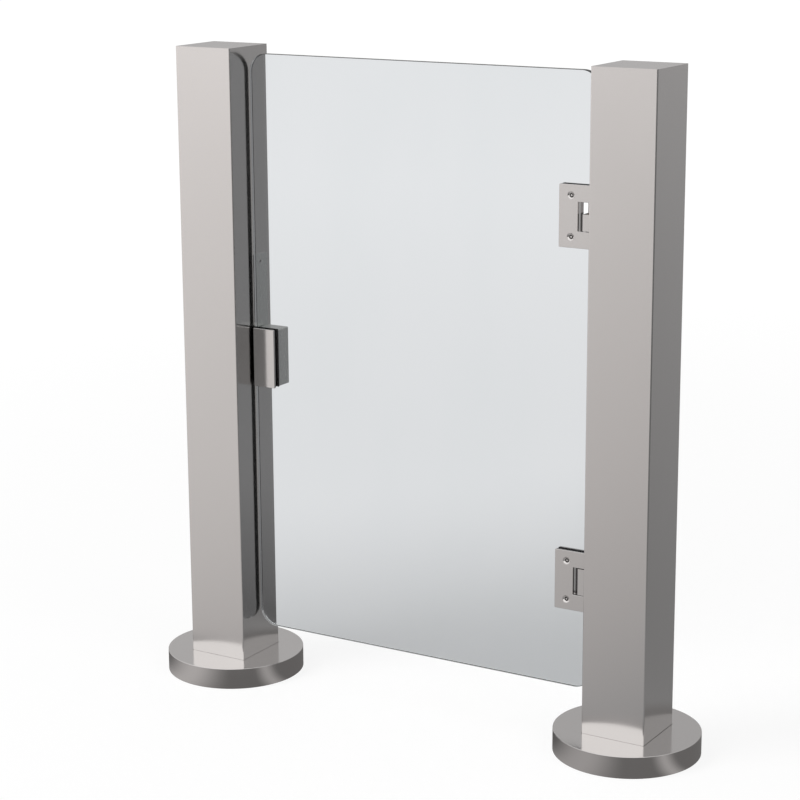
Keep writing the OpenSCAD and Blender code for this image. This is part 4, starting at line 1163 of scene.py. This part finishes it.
class BARRIER_OT_stage(bpy.types.Operator):
    """Lays the floor, hangs the lamps, paints the surroundings and sets the camera as in the photo"""

    bl_idname = "barrier.stage"
    bl_label = "Stage"
    bl_options = {"REGISTER", "UNDO"}

    def execute(self, context):
        size = context.scene.barrier.stage
        self.floor(size)
        self.surroundings(size)
        self.lamps(size)
        self.camera(size)
        context.scene.view_settings.view_transform = "Standard"
        return {"FINISHED"}

    def floor(self, size):
        """A round floor just under the covers."""
        radii, under = (0.0, 0.6, 2.0, 8.0, size.floor), -0.0001
        mesh = closed_mesh("floor", [spun([(radius, under) for radius in radii], 96)])
        mesh.materials.append(self.floor_finish())
        floor = bpy.data.objects.new("floor", mesh)
        bpy.context.scene.collection.objects.link(floor)

    def rays(self, nodes):
        """1 on a ray that has met polished metal or has glanced off the glass, and 1 on one that lights a
        dull surface, otherwise 0."""
        bounced = nodes.add("ShaderNodeLightPath", out="Glossy Depth").above(0.5)
        lighting = nodes.add("ShaderNodeLightPath", out="Diffuse Depth").above(0.5)
        return bounced, lighting

    def far_tone(self, right, back, reach):
        """How bright polished metal sees the floor away from the posts: it changes with the logarithm of
        the distance and with the direction, and is darker at the back left and the front right."""
        far = reach.log()
        to_right = right * (-0.187 + -0.125 * far)
        to_back = back * (-0.063 + 0.033 * far)
        tone = 0.408 + 0.057 * far + to_right + to_back
        dark_side = (right * back * -1).eased(0.1, 0.4) * reach.eased(0.8, 1.6)
        return tone * (1 - dark_side * 0.45)

    def foot_tone(self, along, y, hinge_side):
        """How bright polished metal sees the floor round a post's foot: dark, with a wide bright patch in
        front of it and a narrow one to its right. The angle round the foot is in degrees from the right."""
        around = y.direction(along)
        turned = around + hinge_side * 5
        wide_patch = turned.eased(-165, -110) * turned.eased(-59, -107)
        narrow_patch = turned.eased(-35, -18) * turned.eased(-3, -20)
        foot = 0.142 + 0.338 * wide_patch + 0.228 * narrow_patch
        brighter = around.eased(36, 50) * 0.2
        darker = around.eased(-61, -119) * 0.31
        return foot * (1 + hinge_side * (0.08 + brighter - darker))

    def floor_finish(self):
        """White to the eye with a soft shadow, and to polished metal as bright as a lit studio's floor in
        that direction. Behind the gate it is darker."""
        made, nodes = new_nodes("floor_paper")
        x, y, _ = nodes.parts(nodes.place())
        reach = ((x * x + y * y) ** 0.5).at_least(0.05)
        hinge_side = x.above(0)
        along = x - (hinge_side * 2 - 1) * middle_of("hinge_base_plate")[0]
        gap = (along * along + y * y) ** 0.5
        behind = y.eased(0.15, 0.3) * x.eased(0.45, 0.25) * reach.eased(1.4, 0.3)
        behind = 1 - behind * (0.21 + 0.22 * gap.eased(0.4, 0.29))
        tone = (self.far_tone(x / reach, y / reach, reach) * behind).at_least(0.14).at_most(0.95)
        foot = self.foot_tone(along, y, hinge_side)
        tone = foot + (tone - foot) * gap.eased(0.2, 0.25)
        warm = tone.eased(0.28, 0.5).at_least(gap.eased(0.25, 0.2))
        hue = nodes.blend(warm, (0.98, 0.972, 0.974, 1.0), (1.026, 0.987, 0.974, 1.0))
        seen_by_metal = nodes.add("ShaderNodeEmission", None, {"Color": nodes.scaled(hue, tone)})
        bounced, lighting = self.rays(nodes)
        plain = reach.eased(0.6, 6.0, 0.82, 0.93)
        glow = nodes.add("ShaderNodeEmission", None, {"Color": plain - lighting * 0.45})
        paper = nodes.add("ShaderNodeBsdfDiffuse", None, {"Color": (0.2, 0.2, 0.2, 1.0)})
        seen = nodes.add("ShaderNodeAddShader", None, {0: glow, 1: paper})
        both = nodes.add("ShaderNodeMixShader", None, {0: bounced, 1: seen, 2: seen_by_metal})
        nodes.add("ShaderNodeOutputMaterial", None, {"Surface": both})
        return made

    def surroundings(self, size):
        """White to the eye, soft light for dull surfaces, and for metal brightest at the front left."""
        world = bpy.data.worlds.new("studio")
        bpy.context.scene.world = world
        world.use_nodes = True
        nodes = Nodes(world.node_tree)
        x, y, up = nodes.parts(nodes.add("ShaderNodeTexCoord", out="Generated"))
        low_right = (x + 0.614).at_least(0).at_most(0.2) * up.eased(0.2, 0.1)
        tone = (0.76 - x * 0.054 - y * 0.40 + low_right * 0.36).at_least(0.2)
        bounced, lighting = self.rays(nodes)
        plain = lighting * size.ambient + (1 - lighting)
        level = bounced * tone + (1 - bounced) * plain
        hue = nodes.blend(tone.eased(0.6, 1.0), (0.995, 0.977, 0.974, 1.0), (1.04, 1.02, 1.015, 1.0))
        hue = nodes.blend(bounced, (1.0, 1.0, 1.0, 1.0), hue)
        back = nodes.add("ShaderNodeBackground", None, {"Color": nodes.scaled(hue, level)})
        nodes.add("ShaderNodeOutputWorld", None, {"Surface": back})

    def lamps(self, size):
        """Two round lamps that no metal mirrors. A lamp's power is its share of plain light, times pi
        squared, times its distance squared."""
        aim = Vector((0, 0, 0.4))
        for name, place, width, level in (
            ("key_lamp", (-2.6, -3.4, 4.2), 3.2, size.key),
            ("fill_lamp", (3.6, -1.2, 3.0), 3.0, size.fill),
        ):
            away = Vector(place) - aim
            lamp = bpy.data.lights.new(name, "AREA")
            lamp.shape = "DISK"
            lamp.size = width
            lamp.energy = level * math.pi**2 * away.length_squared
            hung = bpy.data.objects.new(name, lamp)
            hung.location = place
            hung.rotation_euler = away.to_track_quat("Z", "Y").to_euler()
            hung.visible_glossy = False
            bpy.context.scene.collection.objects.link(hung)

    def camera(self, size):
        """The camera as fitted to the photograph's straight edges: how far round, how far up, and its
        slight roll."""
        around, up, roll = math.radians(31.21), math.radians(13.79), math.radians(-0.331)
        target = Vector((-0.036, 0.0, 0.4818))
        back = Vector((math.sin(around) * math.cos(up), -math.cos(around) * math.cos(up), math.sin(up)))
        across = Vector((math.cos(around), math.sin(around), 0.0))
        top = back.cross(across)
        rolled = across * math.cos(roll) + top * math.sin(roll)
        place = Matrix((rolled, back.cross(rolled), back)).transposed().to_4x4()
        place.translation = target + back * size.distance
        eye = bpy.data.cameras.new("camera")
        eye.lens = size.focal * 1000
        eye.sensor_width = 36.0
        eye.clip_end = 200.0
        held = bpy.data.objects.new("camera", eye)
        held.matrix_world = place
        bpy.context.scene.collection.objects.link(held)
        bpy.context.scene.camera = held


OPERATORS = (
    BARRIER_OT_posts,
    BARRIER_OT_covers,
    BARRIER_OT_leaf,
    BARRIER_OT_hinges,
    BARRIER_OT_lock,
    BARRIER_OT_strike,
    BARRIER_OT_stage,
)


class BARRIER_PT_panel(bpy.types.Panel):
    """Lists the builders and the sizes"""

    bl_idname = "BARRIER_PT_panel"
    bl_label = "Glass swing barrier"
    bl_space_type = "VIEW_3D"
    bl_region_type = "UI"
    bl_category = "Barrier"

    def draw(self, context):
        for operator in OPERATORS:
            self.layout.operator(operator.bl_idname)
        for group in context.scene.barrier.bl_rna.properties:
            if group.type == "POINTER" and group.identifier != "rna_type":
                box = self.layout.box()
                box.label(text=group.identifier.title())
                held = getattr(context.scene.barrier, group.identifier)
                for name in type(held).__annotations__:
                    box.prop(held, name)


GROUPS = (
    CoverSizes,
    LeafSizes,
    ClampSizes,
    ScrewSizes,
    LockSizes,
    EdgeSizes,
    Finishes,
    StageSizes,
    BarrierSettings,
)
CLASSES = (*GROUPS, *OPERATORS, BARRIER_PT_panel)


def register():
    for each in CLASSES:
        bpy.utils.register_class(each)
    bpy.types.Scene.barrier = PointerProperty(type=BarrierSettings)


def unregister():
    del bpy.types.Scene.barrier
    for each in reversed(CLASSES):
        bpy.utils.unregister_class(each)


def main():
    register()
    bpy.ops.barrier.posts()
    bpy.ops.barrier.covers()
    bpy.ops.barrier.leaf()
    bpy.ops.barrier.hinges()
    bpy.ops.barrier.lock()
    bpy.ops.barrier.strike()
    bpy.ops.barrier.stage()


if __name__ == "__main__":
    main()
